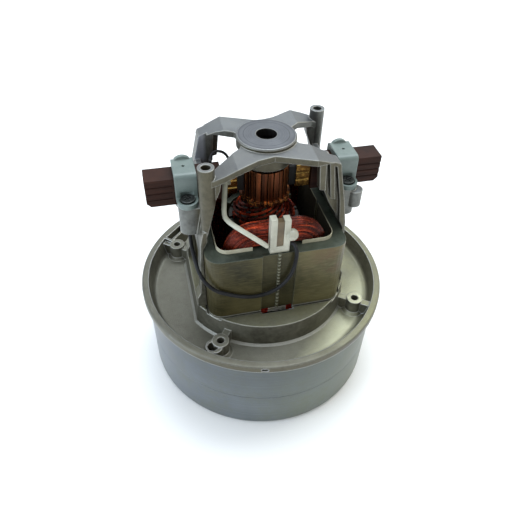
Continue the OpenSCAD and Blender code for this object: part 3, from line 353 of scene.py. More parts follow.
def make_moulded_skin():
    """Moulded plastic: faint clouds for the tone and a spark-etched grain for the height."""
    tree, start, end = new_group(
        "moulded skin", {"Grain": 2200.0}, {"Tone": "NodeSocketFloat", "Height": "NodeSocketFloat"})
    where = coordinates(tree)
    clouds = noise(tree, where, 90.0, 4.0, 0.6)
    tree.links.new(ranged(tree, clouds, 0.35, 0.65), end.inputs["Tone"])
    tree.links.new(noise(tree, where, start.outputs["Grain"], 2.0, 0.5), end.inputs["Height"])
    return tree


ROUNDED_EDGES = make_rounded_edges()
CAST_GRAIN = make_cast_grain()
TURNED_RINGS = make_turned_rings()
SETTLED_DUST = make_settled_dust()
MOULDED_SKIN = make_moulded_skin()


# Finishes

ARMATURE_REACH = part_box("armature_core")[1][0] + 0.0002
STACK_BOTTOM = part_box("stator_core")[0][2]
COMMUTATOR_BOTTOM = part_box("commutator_bars")[0][2]
HUB_GROOVES = (0.0114, 0.0136)
TAPE_MIDDLE = 0.0022

# Strands of each set in one turn round the sleeve, and in a millimetre along it

BRAID_STRANDS = 12.0
BRAID_PITCH = 1.6

# Limits of masks, in metres: each mask starts at the first and is full at the second

HUB_GROOVE_EDGE = (0.0003, 0.0001)
HUB_FACE = (0.15385, 0.15395)
HUB_HOLE = (0.0064, 0.0058)
HUB_GREASE = (0.138, 0.141)
RIM = (0.061, 0.064)
INSIDE_RIM = (0.0635, 0.0620)
DECK = (0.056, 0.052)
CAGE = (STACK_BOTTOM + 0.020, STACK_BOTTOM + 0.035)
CHANNEL_WIDTH = (0.0091, 0.0088)
CHANNEL_DEPTH = (0.033, 0.0335)
WELD_WIDTH = (0.0010, 0.0007)
WELD_DEPTH = (0.0338, 0.0341)
COIL_FOOT = (0.066, 0.064)
TAPE_EDGE = (0.0056, 0.0052)


def new_finish(name, metal=0.0, coat=0.0, coat_rough=0.1, specular=0.5):
    """A material with one Principled shader whose even values are set here."""
    material = bpy.data.materials.new(name)
    material.use_nodes = True
    shader = material.node_tree.nodes["Principled BSDF"]
    shader.inputs["Metallic"].default_value = metal
    shader.inputs["Coat Weight"].default_value = coat
    shader.inputs["Coat Roughness"].default_value = coat_rough
    shader.inputs["Specular IOR Level"].default_value = specular
    return material, material.node_tree, shader


def surface(tree, shader, colour, roughness, height=None, depth=0.0, normal=None):
    """Links colour, roughness and a bump of a given depth in metres to the shader."""
    tree.links.new(colour, shader.inputs["Base Color"])
    if isinstance(roughness, bpy.types.NodeSocket):
        tree.links.new(roughness, shader.inputs["Roughness"])
    else:
        shader.inputs["Roughness"].default_value = roughness
    if height is not None:
        bump = add_node(tree, "ShaderNodeBump", {"Height": height, "Distance": depth})
        if normal is not None:
            tree.links.new(normal, bump.inputs["Normal"])
        normal = bump.outputs["Normal"]
    if normal is not None:
        tree.links.new(normal, shader.inputs["Normal"])


def brighten_edges(tree, edges, share, colour, bright):
    """A colour turned to a brighter one, by a share, along the edges: wear, and on the cast and the brass a
    painted highlight.
    """
    return blended(tree, times(tree, edges.outputs["Edge"], share), colour, bright)


def apart(tree, value, middle):
    """How far a value is from a middle, either way."""
    return maths(tree, "ABSOLUTE", maths(tree, "SUBTRACT", value, middle))


def from_shaft(tree):
    """The distance from the shaft's axis, and how squarely the surface faces that axis, 1 being straight at
    it."""
    flat, radius = level_reach(tree, position(tree)[1])
    outward = vector_maths(tree, "NORMALIZE", flat).outputs[0]
    agree = vector_maths(tree, "DOT_PRODUCT", outward, own_normal(tree)).outputs["Value"]
    return radius, times(tree, agree, -1.0)


def hub_lines(tree, radius):
    """Two fine grooves round the hub disc: 1 where the radius is near one of HUB_GROOVES, 0 elsewhere."""
    near = [ranged(tree, apart(tree, radius, groove), *HUB_GROOVE_EDGE) for groove in HUB_GROOVES]
    return maths(tree, "MAXIMUM", *near)


def cast_ground(tree, tone, spots, radius, cage):
    """The casting's mottled ground: warm grey, browner on the front of the rim and the cage as painted warm
    shade, and cooler on the cage's back and outer sides as painted cool light."""
    front = blended(tree, tone, (0.052, 0.046, 0.029), (0.120, 0.109, 0.074))
    rear = blended(tree, tone, (0.084, 0.085, 0.076), (0.190, 0.196, 0.184))
    colour = blended(tree, tone, (0.094, 0.089, 0.067), (0.215, 0.208, 0.164))
    # Painted warm shade: the rim's front takes the browner front colours.
    near_rim = times(tree, ranged(tree, radius, *RIM), ranged(tree, spots[1], -0.030, -0.062))
    colour = blended(tree, near_rim, colour, front)
    # Painted light on the cage: warm shade at its front, cool light at its back and outer sides.
    behind = ranged(tree, spots[1], -0.012, 0.012)
    aside = ranged(tree, maths(tree, "ABSOLUTE", spots[0]), 0.037, 0.040)
    return blended(tree, cage, colour, blended(tree, maths(tree, "MAXIMUM", behind, aside), front, rear))


def cast_level_faces(tree, where, spots, radius):
    """The casting's level faces: the dish darker at the left as painted shade and olive at the right as
    painted warm light, the deck under the stack olive with oil, both blotched, a painted highlight at the
    front right, and the cage blue-grey as painted cool light from above."""
    # Painted shade on the dish's left, and painted warm light on its right.
    left = blended(tree, ranged(tree, spots[0], -0.060, -0.010), (0.082, 0.079, 0.064), (0.195, 0.190, 0.156))
    colour = blended(tree, ranged(tree, spots[0], 0.0, 0.05), left, (0.196, 0.190, 0.100))
    high = ranged(tree, spots[2], STACK_BOTTOM - 0.002, STACK_BOTTOM - 0.001)
    colour = blended(tree, times(tree, ranged(tree, radius, *DECK), high), colour, (0.195, 0.190, 0.108))
    blotches = ranged(tree, noise(tree, where, 55.0, 5.0, 0.62), 0.44, 0.66, 0.0, 0.55)
    colour = blended(tree, blotches, colour, (0.062, 0.060, 0.042))
    # A painted highlight on the dish's front right.
    painted_highlight = ranged(tree, maths(tree, "SUBTRACT", spots[0], spots[1]), 0.064, 0.084, 0.0, 0.8)
    painted_highlight = times(tree, painted_highlight, ranged(tree, radius, *INSIDE_RIM))
    colour = blended(tree, painted_highlight, colour, (0.62, 0.62, 0.42))
    # Painted cool light on the cage's level faces.
    return blended(tree, ranged(tree, spots[2], 0.10, 0.13), colour, (0.165, 0.176, 0.194))


def paint_cage_light_and_shade(tree, colour, spots, radius, inward, cage):
    """Paints shade on the cage's inner walls and in the hub's hole, and paints light on the outer half of the
    back left leg's inner face."""
    # Painted shade on the cage's inner walls.
    inner_wall_shade = times(tree, ranged(tree, inward, 0.50, 0.80), ranged(tree, spots[2], 0.070, 0.085))
    colour = blended(tree, times(tree, inner_wall_shade, 0.65), colour, (0.022, 0.020, 0.019))
    # A painted lit patch on the back left leg's inner face.
    corner = times(tree, ranged(tree, spots[0], -0.0275, -0.0295), ranged(tree, spots[1], 0.012, 0.016))
    corner = times(tree, corner, times(tree, cage, ranged(tree, inward, 0.2, 0.4)))
    colour = blended(tree, times(tree, corner, 0.9), colour, (0.44, 0.46, 0.52))
    # Painted shade in the hub's hole.
    hole = times(tree, ranged(tree, radius, *HUB_HOLE), ranged(tree, inward, 0.5, 0.9))
    return blended(tree, times(tree, hole, 0.92), colour, (0.008, 0.007, 0.007))


def cast_finish():
    """As-cast aluminium: a mottled ground with painted warm shade at the front and painted cool light at the
    back, stained level faces with painted light and shade, dust, edges worn and lit by painted highlights,
    and painted shade inside the cage with one painted lit patch. The hub disc's top is turned."""
    material, tree, shader = new_finish("cast_aluminium", metal=0.6)
    grain = use(tree, CAST_GRAIN, Grain=1500.0)
    rings = use(tree, TURNED_RINGS, Rings=2200.0)
    edges = use(tree, ROUNDED_EDGES, Width=0.0009)
    dust = use(tree, SETTLED_DUST, Amount=0.22)
    where, spots = position(tree)
    radius, inward = from_shaft(tree)
    turned = ranged(tree, spots[2], *HUB_FACE)
    cage = ranged(tree, spots[2], *CAGE)
    colour = cast_ground(tree, grain.outputs["Tone"], spots, radius, cage)
    level = cast_level_faces(tree, where, spots, radius)
    # Level faces take their own colours: stains, painted shade and painted light.
    colour = blended(tree, times(tree, upward(tree), 0.65), colour, level)
    colour = blended(tree, dust.outputs["Mask"], colour, (0.22, 0.225, 0.19))
    smooth = blended(tree, rings.outputs["Tone"], (0.070, 0.074, 0.082), (0.150, 0.158, 0.172))
    smooth = blended(tree, times(tree, hub_lines(tree, radius), 0.6), smooth, (0.030, 0.031, 0.034))
    colour = blended(tree, turned, colour, smooth)
    # Painted highlights along worn edges, brightest on the rim.
    bright = blended(tree, ranged(tree, radius, *RIM), (0.50, 0.50, 0.46), (0.74, 0.76, 0.78))
    colour = brighten_edges(tree, edges, 0.7, colour, bright)
    # Painted shade inside the cage, and one painted lit patch.
    colour = paint_cage_light_and_shade(tree, colour, spots, radius, inward, cage)
    roughness = ranged(tree, grain.outputs["Tone"], 0.0, 1.0, 0.34, 0.52)
    keys = {"Factor": turned, "A": grain.outputs["Height"], "B": times(tree, rings.outputs["Height"], 0.3)}
    relief = add_node(tree, "ShaderNodeMix", keys, data_type="FLOAT")
    surface(tree, shader, colour, roughness, relief.outputs[0], 0.00016, edges.outputs["Normal"])
    return material


def shell_finish():
    """Drawn zinc-plated sheet: blue-grey satin with faint rings round it and soft olive stains, darker high
    up as painted shade, and yellower at the right as painted warm light."""
    material, tree, shader = new_finish("shell_sheet", metal=0.75)
    rings = use(tree, TURNED_RINGS, Rings=900.0)
    grain = use(tree, CAST_GRAIN, Grain=2400.0)
    edges = use(tree, ROUNDED_EDGES, Width=0.0004)
    colour = blended(tree, rings.outputs["Tone"], (0.142, 0.160, 0.178), (0.198, 0.222, 0.246))
    stains = ranged(tree, grain.outputs["Tone"], 0.3, 1.0, 0.0, 0.6)
    colour = blended(tree, stains, colour, (0.160, 0.172, 0.136))
    spots = position(tree)[1]
    # Painted shade: the upper shell darker than the lower.
    upper_painted_shade = blended(tree, ranged(tree, spots[2], 0.016, 0.047), (1.0, 1.0, 1.0), (0.68, 0.68, 0.68))
    # Painted warm light on the shell's right.
    warm = blended(tree, ranged(tree, spots[0], -0.040, 0.040), (1.0, 1.0, 1.0), (0.82, 0.83, 0.60))
    colour = blended(tree, 1.0, blended(tree, 1.0, colour, upper_painted_shade, "MULTIPLY"), warm, "MULTIPLY")
    colour = brighten_edges(tree, edges, 0.4, colour, (0.42, 0.44, 0.46))
    roughness = ranged(tree, rings.outputs["Tone"], 0.0, 1.0, 0.30, 0.42)
    surface(tree, shader, colour, roughness, rings.outputs["Height"], 0.00003, edges.outputs["Normal"])
    return material


def sheet_finish():
    """Rolled aluminium of the fans and the guide plate."""
    material, tree, shader = new_finish("fan_sheet", metal=0.9)
    rings = use(tree, TURNED_RINGS, Rings=500.0)
    colour = blended(tree, rings.outputs["Tone"], (0.42, 0.43, 0.44), (0.60, 0.61, 0.62))
    surface(tree, shader, colour, 0.32, rings.outputs["Height"], 0.00002)
    return material


def steel_finish():
    """Ground steel of the shaft, races, balls and springs, dark with grease inside the hub."""
    material, tree, shader = new_finish("ground_steel", metal=1.0)
    rings = use(tree, TURNED_RINGS, Rings=3000.0)
    colour = blended(tree, rings.outputs["Tone"], (0.24, 0.245, 0.25), (0.40, 0.41, 0.42))
    grease = ranged(tree, position(tree)[1][2], *HUB_GREASE)
    colour = blended(tree, times(tree, grease, 0.9), colour, (0.020, 0.018, 0.016))
    roughness = ranged(tree, grease, 0.0, 1.0, 0.36, 0.55)
    surface(tree, shader, colour, roughness, rings.outputs["Height"], 0.00001)
    return material


def zinc_finish():
    """Zinc-plated screws, nut, washer and spacers: dark with grime, worn bright at their edges."""
    material, tree, shader = new_finish("zinc_plate", metal=0.8)
    grain = use(tree, CAST_GRAIN, Grain=2600.0)
    edges = use(tree, ROUNDED_EDGES, Width=0.0003)
    colour = blended(tree, grain.outputs["Tone"], (0.030, 0.034, 0.032), (0.100, 0.105, 0.100))
    colour = brighten_edges(tree, edges, 0.55, colour, (0.36, 0.37, 0.36))
    surface(tree, shader, colour, 0.36, grain.outputs["Height"], 0.00004, edges.outputs["Normal"])
    return material


def lamination_finish():
    """Stacked sheet edges under olive varnish: fine level lines, darker at the left and in the channels as
    painted shade, rust at the right, dark green level faces, and the bright ripples of the weld that runs
    down each channel. The armature's core is nearly black."""
    material, tree, shader = new_finish(
        "lamination_stack", metal=0.35, coat=0.08, coat_rough=0.25, specular=0.3)
    where, parts = position(tree)
    aside, away = (maths(tree, "ABSOLUTE", part) for part in parts[:2])
    lines = noise(tree, stretched(tree, where, 0.10), 2100.0, 2.0, 0.5)
    runs = noise(tree, where, 30.0, 5.0, 0.55)
    edges = use(tree, ROUNDED_EDGES, Width=0.0007)
    dust = use(tree, SETTLED_DUST, Amount=0.30)
    colour = blended(tree, ranged(tree, runs, 0.34, 0.70), (0.031, 0.030, 0.013), (0.160, 0.140, 0.063))
    colour = blended(tree, ranged(tree, lines, 0.46, 0.72, 0.0, 0.45), colour, (0.192, 0.174, 0.094))
    # Painted shade: the stack darker at its left.
    left_painted_shade = blended(tree, ranged(tree, parts[0], -0.030, 0.030), (0.56, 0.53, 0.44), (1.0, 0.99, 0.96))
    colour = blended(tree, 1.0, colour, left_painted_shade, "MULTIPLY")
    rust = ranged(tree, noise(tree, where, 48.0, 4.0, 0.6), 0.50, 0.68, 0.0, 0.55)
    rust = times(tree, rust, ranged(tree, parts[0], 0.006, 0.026))
    colour = blended(tree, rust, colour, (0.120, 0.058, 0.034))
    green = blended(tree, ranged(tree, runs, 0.35, 0.65), (0.016, 0.024, 0.018), (0.052, 0.062, 0.044))
    colour = blended(tree, upward(tree), colour, green)
    colour = blended(tree, dust.outputs["Mask"], colour, (0.16, 0.18, 0.145))
    colour = brighten_edges(tree, edges, 0.4, colour, (0.22, 0.23, 0.18))
    # Painted shade in the channels.
    channel = times(tree, ranged(tree, aside, *CHANNEL_WIDTH), ranged(tree, away, *CHANNEL_DEPTH))
    colour = blended(tree, times(tree, channel, 0.45), colour, (0.014, 0.014, 0.007))
    core = ranged(tree, from_shaft(tree)[0], ARMATURE_REACH + 0.0004, ARMATURE_REACH)
    colour = blended(tree, times(tree, core, 0.85), colour, (0.010, 0.007, 0.005))
    waver = maths(tree, "ADD", times(tree, parts[2], 2600.0), times(tree, runs, 30.0))
    ripple = ranged(tree, maths(tree, "SINE", waver), -0.6, 1.0, 0.0, 0.8)
    weld = times(tree, ranged(tree, aside, *WELD_WIDTH), ranged(tree, away, *WELD_DEPTH))
    bead = times(tree, weld, ripple)
    colour = blended(tree, bead, colour, (0.27, 0.27, 0.205))
    height = maths(tree, "ADD", lines, times(tree, bead, 4.0))
    roughness = ranged(tree, runs, 0.35, 0.65, 0.32, 0.48)
    surface(tree, shader, colour, roughness, height, 0.00007, edges.outputs["Normal"])
    return material


def tube_map(tree):
    """A tube's own map: turns round, and millimetres along."""
    return parts_of(tree, add_node(tree, "ShaderNodeUVMap", uv_map="along").outputs[0])


def enamel_finish():
    """Copper wire under red-brown enamel: glossy, its red changing along the wire, with painted orange glints
    on some turns and in specks, and patches of dark varnish. It is darker towards the right, and painted
    shade darkens its left end. At the coils' foot it is painted a plain bright red as painted light against
    its shade, and loses its metal, with a strip of cream tape across the middle."""
    metal = 0.6
    material, tree, shader = new_finish(
        "enamelled_wire", metal=metal, coat=0.15, coat_rough=0.12, specular=0.3)
    where, parts = position(tree)
    turns = line_noise(tree, tube_map(tree)[1], 0.035, 2.0, 0.7)
    patches = noise(tree, where, 130.0, 5.0, 0.65)
    specks = noise(tree, where, 900.0, 3.0, 0.6)
    colour = blended(tree, ranged(tree, turns, 0.34, 0.66), (0.060, 0.006, 0.0022), (0.38, 0.038, 0.009))
    # Painted glints: some turns bright orange.
    colour = blended(tree, ranged(tree, turns, 0.56, 0.66, 0.0, 0.8), colour, (0.74, 0.088, 0.020))
    colour = blended(tree, ranged(tree, patches, 0.44, 0.66, 0.0, 0.85), colour, (0.035, 0.006, 0.004))
    # Darker towards the right, and painted shade on the coil's left end.
    for start, end, share in ((0.002, 0.022, 0.75), (-0.014, -0.024, 0.6)):
        colour = blended(tree, ranged(tree, parts[0], start, end, 0.0, share), colour, (0.040, 0.006, 0.004))
    # Painted glints in orange specks.
    colour = blended(tree, ranged(tree, specks, 0.60, 0.80, 0.0, 0.7), colour, (0.85, 0.19, 0.045))
    # Painted light: the foot a plain bright red against its shade.
    foot = ranged(tree, parts[2], *COIL_FOOT)
    colour = blended(tree, times(tree, foot, 0.8), colour, (0.85, 0.05, 0.02))
    tape = times(tree, foot, ranged(tree, apart(tree, parts[0], TAPE_MIDDLE), *TAPE_EDGE))
    colour = blended(tree, tape, colour, (0.95, 0.92, 0.80))
    tree.links.new(ranged(tree, foot, 0.0, 1.0, metal, 0.0), shader.inputs["Metallic"])
    roughness = ranged(tree, specks, 0.3, 0.7, 0.20, 0.38)
    surface(tree, shader, colour, roughness, specks, 0.00005)
    return material


def copper_finish():
    """Run-in commutator copper: a dark film of its own depth on each bar, with brown rings, edges worn to
    copper, and painted orange glints round the foot."""
    material, tree, shader = new_finish("commutator_copper", metal=0.9)
    where, parts = position(tree)
    rings = use(tree, TURNED_RINGS, Rings=1500.0)
    edges = use(tree, ROUNDED_EDGES, Width=0.00025)
    bars = line_noise(tree, maths(tree, "ARCTAN2", parts[1], parts[0]), 4.5, 1.0)
    colour = blended(tree, ranged(tree, bars, 0.40, 0.62), (0.030, 0.0090, 0.0042), (0.23, 0.066, 0.021))
    brown = ranged(tree, rings.outputs["Tone"], 0.35, 0.9, 0.0, 0.6)
    colour = blended(tree, brown, colour, (0.075, 0.027, 0.013))
    colour = brighten_edges(tree, edges, 0.55, colour, (0.60, 0.25, 0.10))
    # Painted glints round the commutator's foot.
    foot = ranged(tree, parts[2], COMMUTATOR_BOTTOM + 0.0034, COMMUTATOR_BOTTOM + 0.0022)
    painted_foot_glints = ranged(tree, noise(tree, where, 420.0, 2.0, 0.5), 0.50, 0.62, 0.0, 0.9)
    colour = blended(tree, times(tree, foot, painted_foot_glints), colour, (0.90, 0.36, 0.10))
    surface(tree, shader, colour, 0.34, rings.outputs["Height"], 0.00004, edges.outputs["Normal"])
    return material


def moulded_finish(name, dark, light, roughness, width, rub, dusty=0.12, bands=0.0, specular=0.5):
    """A moulding: two close tones, worn a little at its edges, with a fine skin, some dust, and flow bands
    where they are asked for."""
    material, tree, shader = new_finish(name, specular=specular)
    skin = use(tree, MOULDED_SKIN, Grain=2200.0)
    edges = use(tree, ROUNDED_EDGES, Width=width)
    dust = use(tree, SETTLED_DUST, Amount=dusty)
    colour = blended(tree, skin.outputs["Tone"], dark, light)
    if bands:
        streaks = noise(tree, stretched(tree, coordinates(tree), 0.08), 420.0, 3.0, 0.6)
        flow = ranged(tree, streaks, 0.42, 0.66, 0.0, bands)
        colour = blended(tree, flow, colour, tuple(2.6 * c for c in light))
    worn = tuple(min(1.0, 1.6 * c + 0.015) for c in light)
    colour = brighten_edges(tree, edges, rub, colour, worn)
    colour = blended(tree, dust.outputs["Mask"], colour, tuple(0.5 * c + 0.12 for c in light))
    surface(tree, shader, colour, roughness, skin.outputs["Height"], 0.00005, edges.outputs["Normal"])
    return material


def slot_paper_finish():
    """Cream paper of the slots and the shaft, soaked dark with varnish on the faces that look at the
    armature, and darker between the coils."""
    material, tree, shader = new_finish("slot_paper", specular=0.3)
    skin = use(tree, MOULDED_SKIN, Grain=1400.0)
    colour = blended(tree, skin.outputs["Tone"], (0.40, 0.38, 0.27), (0.60, 0.57, 0.44))
    between = ranged(tree, maths(tree, "ABSOLUTE", position(tree)[1][1]), 0.022, 0.012, 0.0, 0.8)
    colour = blended(tree, between, colour, (0.10, 0.10, 0.06))
    soaked = ranged(tree, from_shaft(tree)[1], 0.1, 0.5, 0.0, 0.94)
    colour = blended(tree, soaked, colour, (0.022, 0.017, 0.010))
    surface(tree, shader, colour, 0.62, skin.outputs["Height"], 0.00005)
    return material


def brass_finish():
    """Drawn brass brush tube under brown tarnish darkened as painted shade, with painted glints at its edges.
    """
    material, tree, shader = new_finish("brush_tube_brass", metal=1.0)
    grain = use(tree, CAST_GRAIN, Grain=2600.0)
    edges = use(tree, ROUNDED_EDGES, Width=0.0006)
    tone = ranged(tree, grain.outputs["Tone"], 0.3, 1.0)
    # Painted shade: the tube mostly dark brown, over its tarnish.
    colour = blended(tree, tone, (0.07, 0.034, 0.010), (0.42, 0.235, 0.055))
    # Painted glints along the tube's edges.
    colour = brighten_edges(tree, edges, 0.7, colour, (0.86, 0.58, 0.18))
    surface(tree, shader, colour, 0.26, grain.outputs["Height"], 0.00003, edges.outputs["Normal"])
    return material


def sleeve_finish():
    """Braided glass sleeve: two sets of strands crossing on the tube's own map, cream, soiled in patches, and
    darker near the cage's top as painted shade."""
    material, tree, shader = new_finish("braided_sleeve")
    around, along = tube_map(tree)[:2]
    strands = []
    for lean in (BRAID_STRANDS, -BRAID_STRANDS):
        phase = maths(tree, "ADD", times(tree, around, lean), times(tree, along, BRAID_PITCH))
        strands.append(maths(tree, "ABSOLUTE", maths(tree, "SINE", times(tree, phase, np.pi))))
    weave = maths(tree, "MAXIMUM", *strands)
    where, parts = position(tree)
    soil = ranged(tree, noise(tree, where, 120.0, 4.0, 0.6), 0.4, 0.7, 0.0, 0.6)
    colour = blended(tree, ranged(tree, weave, 0.2, 1.0), (0.34, 0.34, 0.27), (0.66, 0.67, 0.57))
    colour = blended(tree, soil, colour, (0.40, 0.39, 0.29))
    # Painted shade on the sleeve near the cage's top.
    above = ranged(tree, parts[2], 0.120, 0.134, 0.0, 0.75)
    colour = blended(tree, above, colour, (0.13, 0.125, 0.085))
    surface(tree, shader, colour, 0.7, weave, 0.00012)
    return material


def lead_finish():
    """Black lead insulation: satin, faintly clouded."""
    material, tree, shader = new_finish("lead_insulation", specular=0.2)
    skin = use(tree, MOULDED_SKIN, Grain=1600.0)
    colour = blended(tree, skin.outputs["Tone"], (0.006, 0.006, 0.007), (0.018, 0.018, 0.020))
    surface(tree, shader, colour, 0.48, skin.outputs["Height"], 0.00004)
    return material


FINISHES = {
    "cast": cast_finish(),
    "shell": shell_finish(),
    "fan": sheet_finish(),
    "steel": steel_finish(),
    "zinc": zinc_finish(),
    "lamination": lamination_finish(),
    "enamel": enamel_finish(),
    "copper": copper_finish(),
    "moulding": moulded_finish(
        "phenolic_moulding", (0.012, 0.0040, 0.0024), (0.027, 0.0095, 0.0055), 0.52, 0.0005, 0.35,
        dusty=0.02, bands=0.35, specular=0.14),
    "insulation": slot_paper_finish(),
    "brass": brass_finish(),
    "carbon": moulded_finish(
        "carbon", (0.006, 0.006, 0.006), (0.014, 0.013, 0.012), 0.55, 0.0003, 0.2, dusty=0.01, specular=0.2),
    "clamp": moulded_finish(
        "clamp_moulding", (0.112, 0.150, 0.140), (0.165, 0.205, 0.190), 0.34, 0.0010, 0.35),
    "clip": moulded_finish(
        "clip_moulding", (0.36, 0.355, 0.285), (0.54, 0.53, 0.44), 0.34, 0.0006, 0.2),
    "cutout": moulded_finish(
        "cutout_can", (0.075, 0.050, 0.024), (0.17, 0.12, 0.060), 0.34, 0.0004, 0.5),
    "sleeve": sleeve_finish(),
    "lead": lead_finish(),
}


def dress_cad_nodes():
    """Gives every CAD node the finish of its slot in the record."""
    for part in frame["record"]["subparts"]:
        materials = frame["nodes"][part["node"]].data.materials
        materials.clear()
        materials.append(FINISHES[part["material_slot"]])


dress_cad_nodes()


# Leads: the routes of the CAD solids, as smooth tubes

LEAD_STEPS = 8
LEAD_SIDES = 20
LEAD_DIAMETER = 2.0
LEAD_ROUTE = [
    (-42, -9, 109.4), (-42, -9.2, 106.5), (-42, -10.6, 103.8), (-42, -14, 101.4), (-41.8, -19, 99.4),
    (-41.4, -24.5, 97.4), (-40.4, -29, 95), (-38, -33.6, 92), (-33.4, -37, 88.8), (-26.5, -37.4, 84.8),
    (-20, -37.4, 81.8), (-13, -37.4, 80.4), (-6.5, -37.4, 81.2), (-1, -37.4, 83.8), (3, -37.4, 87.8),
    (5.8, -37.4, 92.6), (7.2, -37.4, 97.6), (7.8, -37.4, 102.2), (8, -37.4, 106.6), (7.9, -36.3, 109.2),
    (7.4, -34.4, 110.6), (6.5, -33.2, 110.9), (5.4, -32.8, 110.9),
]
BRUSH_LEAD_DIAMETER = 1.4
BRUSH_LEAD_ROUTE = [
    (-27.4, 4.6, 138.5), (-27.2, 6.2, 139), (-26.4, 7.4, 140.2), (-25.2, 7.9, 141.6), (-23.4, 8.1, 142.2),
    (-21, 8.1, 141.6), (-19, 8.3, 139.9), (-17.6, 8.8, 137.2), (-16.9, 9.8, 133.6), (-16.8, 11.6, 129.6),
    (-17, 14.2, 126), (-17.5, 17.4, 123.2), (-18, 21, 121.3), (-18.2, 24.4, 120.4),
]
SLEEVE_DIAMETER = 2.5
SLEEVE_ROUTE = [
    (-20.5, -7.2, 133), (-21.4, -9.6, 138), (-22.4, -12.6, 142.2), (-23.2, -15.6, 144), (-23.8, -17.8, 142),
    (-24.4, -19, 137.7), (-25.2, -20.5, 130.7), (-25.5, -21.6, 126.2), (-25, -23.4, 124),
    (-23, -26.2, 122.8), (-19.4, -29.6, 121.3), (-15, -32, 118.7), (-10.2, -32.8, 114.6),
    (-6.2, -32.8, 110.8),
]


def make_lead(node, route, diameter, hint, slot):
    """A tube along the smoothed route, a lead whose two ends are on the motor."""
    line = smooth_line(route, LEAD_STEPS)
    mesh = tube_mesh(node + "_tube", tube(line, diameter / 2, LEAD_SIDES, hint))
    piece = add_piece(mesh, FINISHES[slot], "motor_frame", slot, node)


make_lead("black_lead", LEAD_ROUTE, LEAD_DIAMETER, (1, 1, 1), "lead")
make_lead("lead_sleeve", SLEEVE_ROUTE, SLEEVE_DIAMETER, (1, 1, 1), "sleeve")
make_lead("brush_lead", BRUSH_LEAD_ROUTE, BRUSH_LEAD_DIAMETER, (-0.7, 0.5, -0.5), "lead")


# Field coils: a bundle with every turn of its outer layer

COIL_INNER = (13.9, 20.8, 2.0)
COIL_CORNER = 16.0
COIL_EDGE = 6.0
COIL_WIRE = 0.8
COIL_TURNS = 38
COIL_SINK = 0.45
STEPS_A_TURN = 80
SECTION_CORNER = 2.2
STRAIGHT_SHARE = 0.2
HEART_SHARE = 0.2
SINK_WAVE = (2.4, 1.3, 4.1)
WIRE_SIDES = 8
BUNDLE_INSET = 0.7 * COIL_WIRE
BUNDLE_ROWS = 41


def loop_point(turn, half_w, half_h, corner):
    """A point of a rounded oblong at a share of its turn: each quarter runs straight, round its corner, and
    straight again."""
    quarter = np.floor(4 * turn).astype(int) % 4
    v = 4 * turn - np.floor(4 * turn)
    v = np.where(quarter % 2 == 1, 1 - v, v)
    bend = np.clip((v - STRAIGHT_SHARE) / (1 - 2 * STRAIGHT_SHARE), 0, 1) * np.pi / 2
    x = (half_w - corner) * np.clip(v / STRAIGHT_SHARE, 0, 1) + corner * np.sin(bend)
    z = (half_h - corner) * np.clip((1 - v) / STRAIGHT_SHARE, 0, 1) + corner * np.cos(bend)
    sign_x = np.array([1, 1, -1, -1])[quarter]
    sign_z = np.array([-1, 1, 1, -1])[quarter]
    return sign_x * x, sign_z * z


def section_point(share, grow_length, depth):
    """A place on the bundle's section, as a share of the way out and a depth: out along its front, round a
    corner, back along its outside, round a corner, and in along its rear."""
    r = SECTION_CORNER
    lengths = np.array([grow_length - r, r * np.pi / 2, depth - 2 * r, r * np.pi / 2, grow_length - r])
    ends = np.concatenate([[0], np.cumsum(lengths)])
    s = share * ends[-1]
    part = np.clip(np.searchsorted(ends, s, side="right") - 1, 0, 4)
    t = s - ends[part]
    a = t / r
    out = np.choose(part, [t, grow_length - r + r * np.sin(a), np.full_like(t, grow_length),
                           grow_length - r + r * np.cos(a), grow_length - r - t])
    back = np.choose(part, [np.zeros_like(t), r - r * np.cos(a), r + t, depth - r + r * np.sin(a),
                            np.full_like(t, depth)])
    return out / grow_length, back


def coil_surface(turn, share, inset, outer, front, depth):
    """Points of the coil at a share of a turn and of its section, a distance inside its outside. The front
    is rounded back towards the coil's left and right ends."""
    half_w, half_h = outer
    grow, back = section_point(share, half_h - COIL_INNER[1] - 2 * inset, depth - 2 * inset)
    w = mix(COIL_INNER[0] + inset, half_w - inset, grow)
    h = mix(COIL_INNER[1] + inset, half_h - inset, grow)
    r = mix(COIL_INNER[2] + inset, COIL_CORNER - inset, grow)
    x, z = loop_point(turn, w, h, r)
    past = np.clip(np.abs(x) - (half_w - COIL_EDGE), 0, COIL_EDGE - inset)
    lean = (COIL_EDGE - inset) - np.sqrt((COIL_EDGE - inset) ** 2 - past**2)
    y = front + inset + np.maximum(back, lean)
    return np.stack([x, y, z], axis=-1)


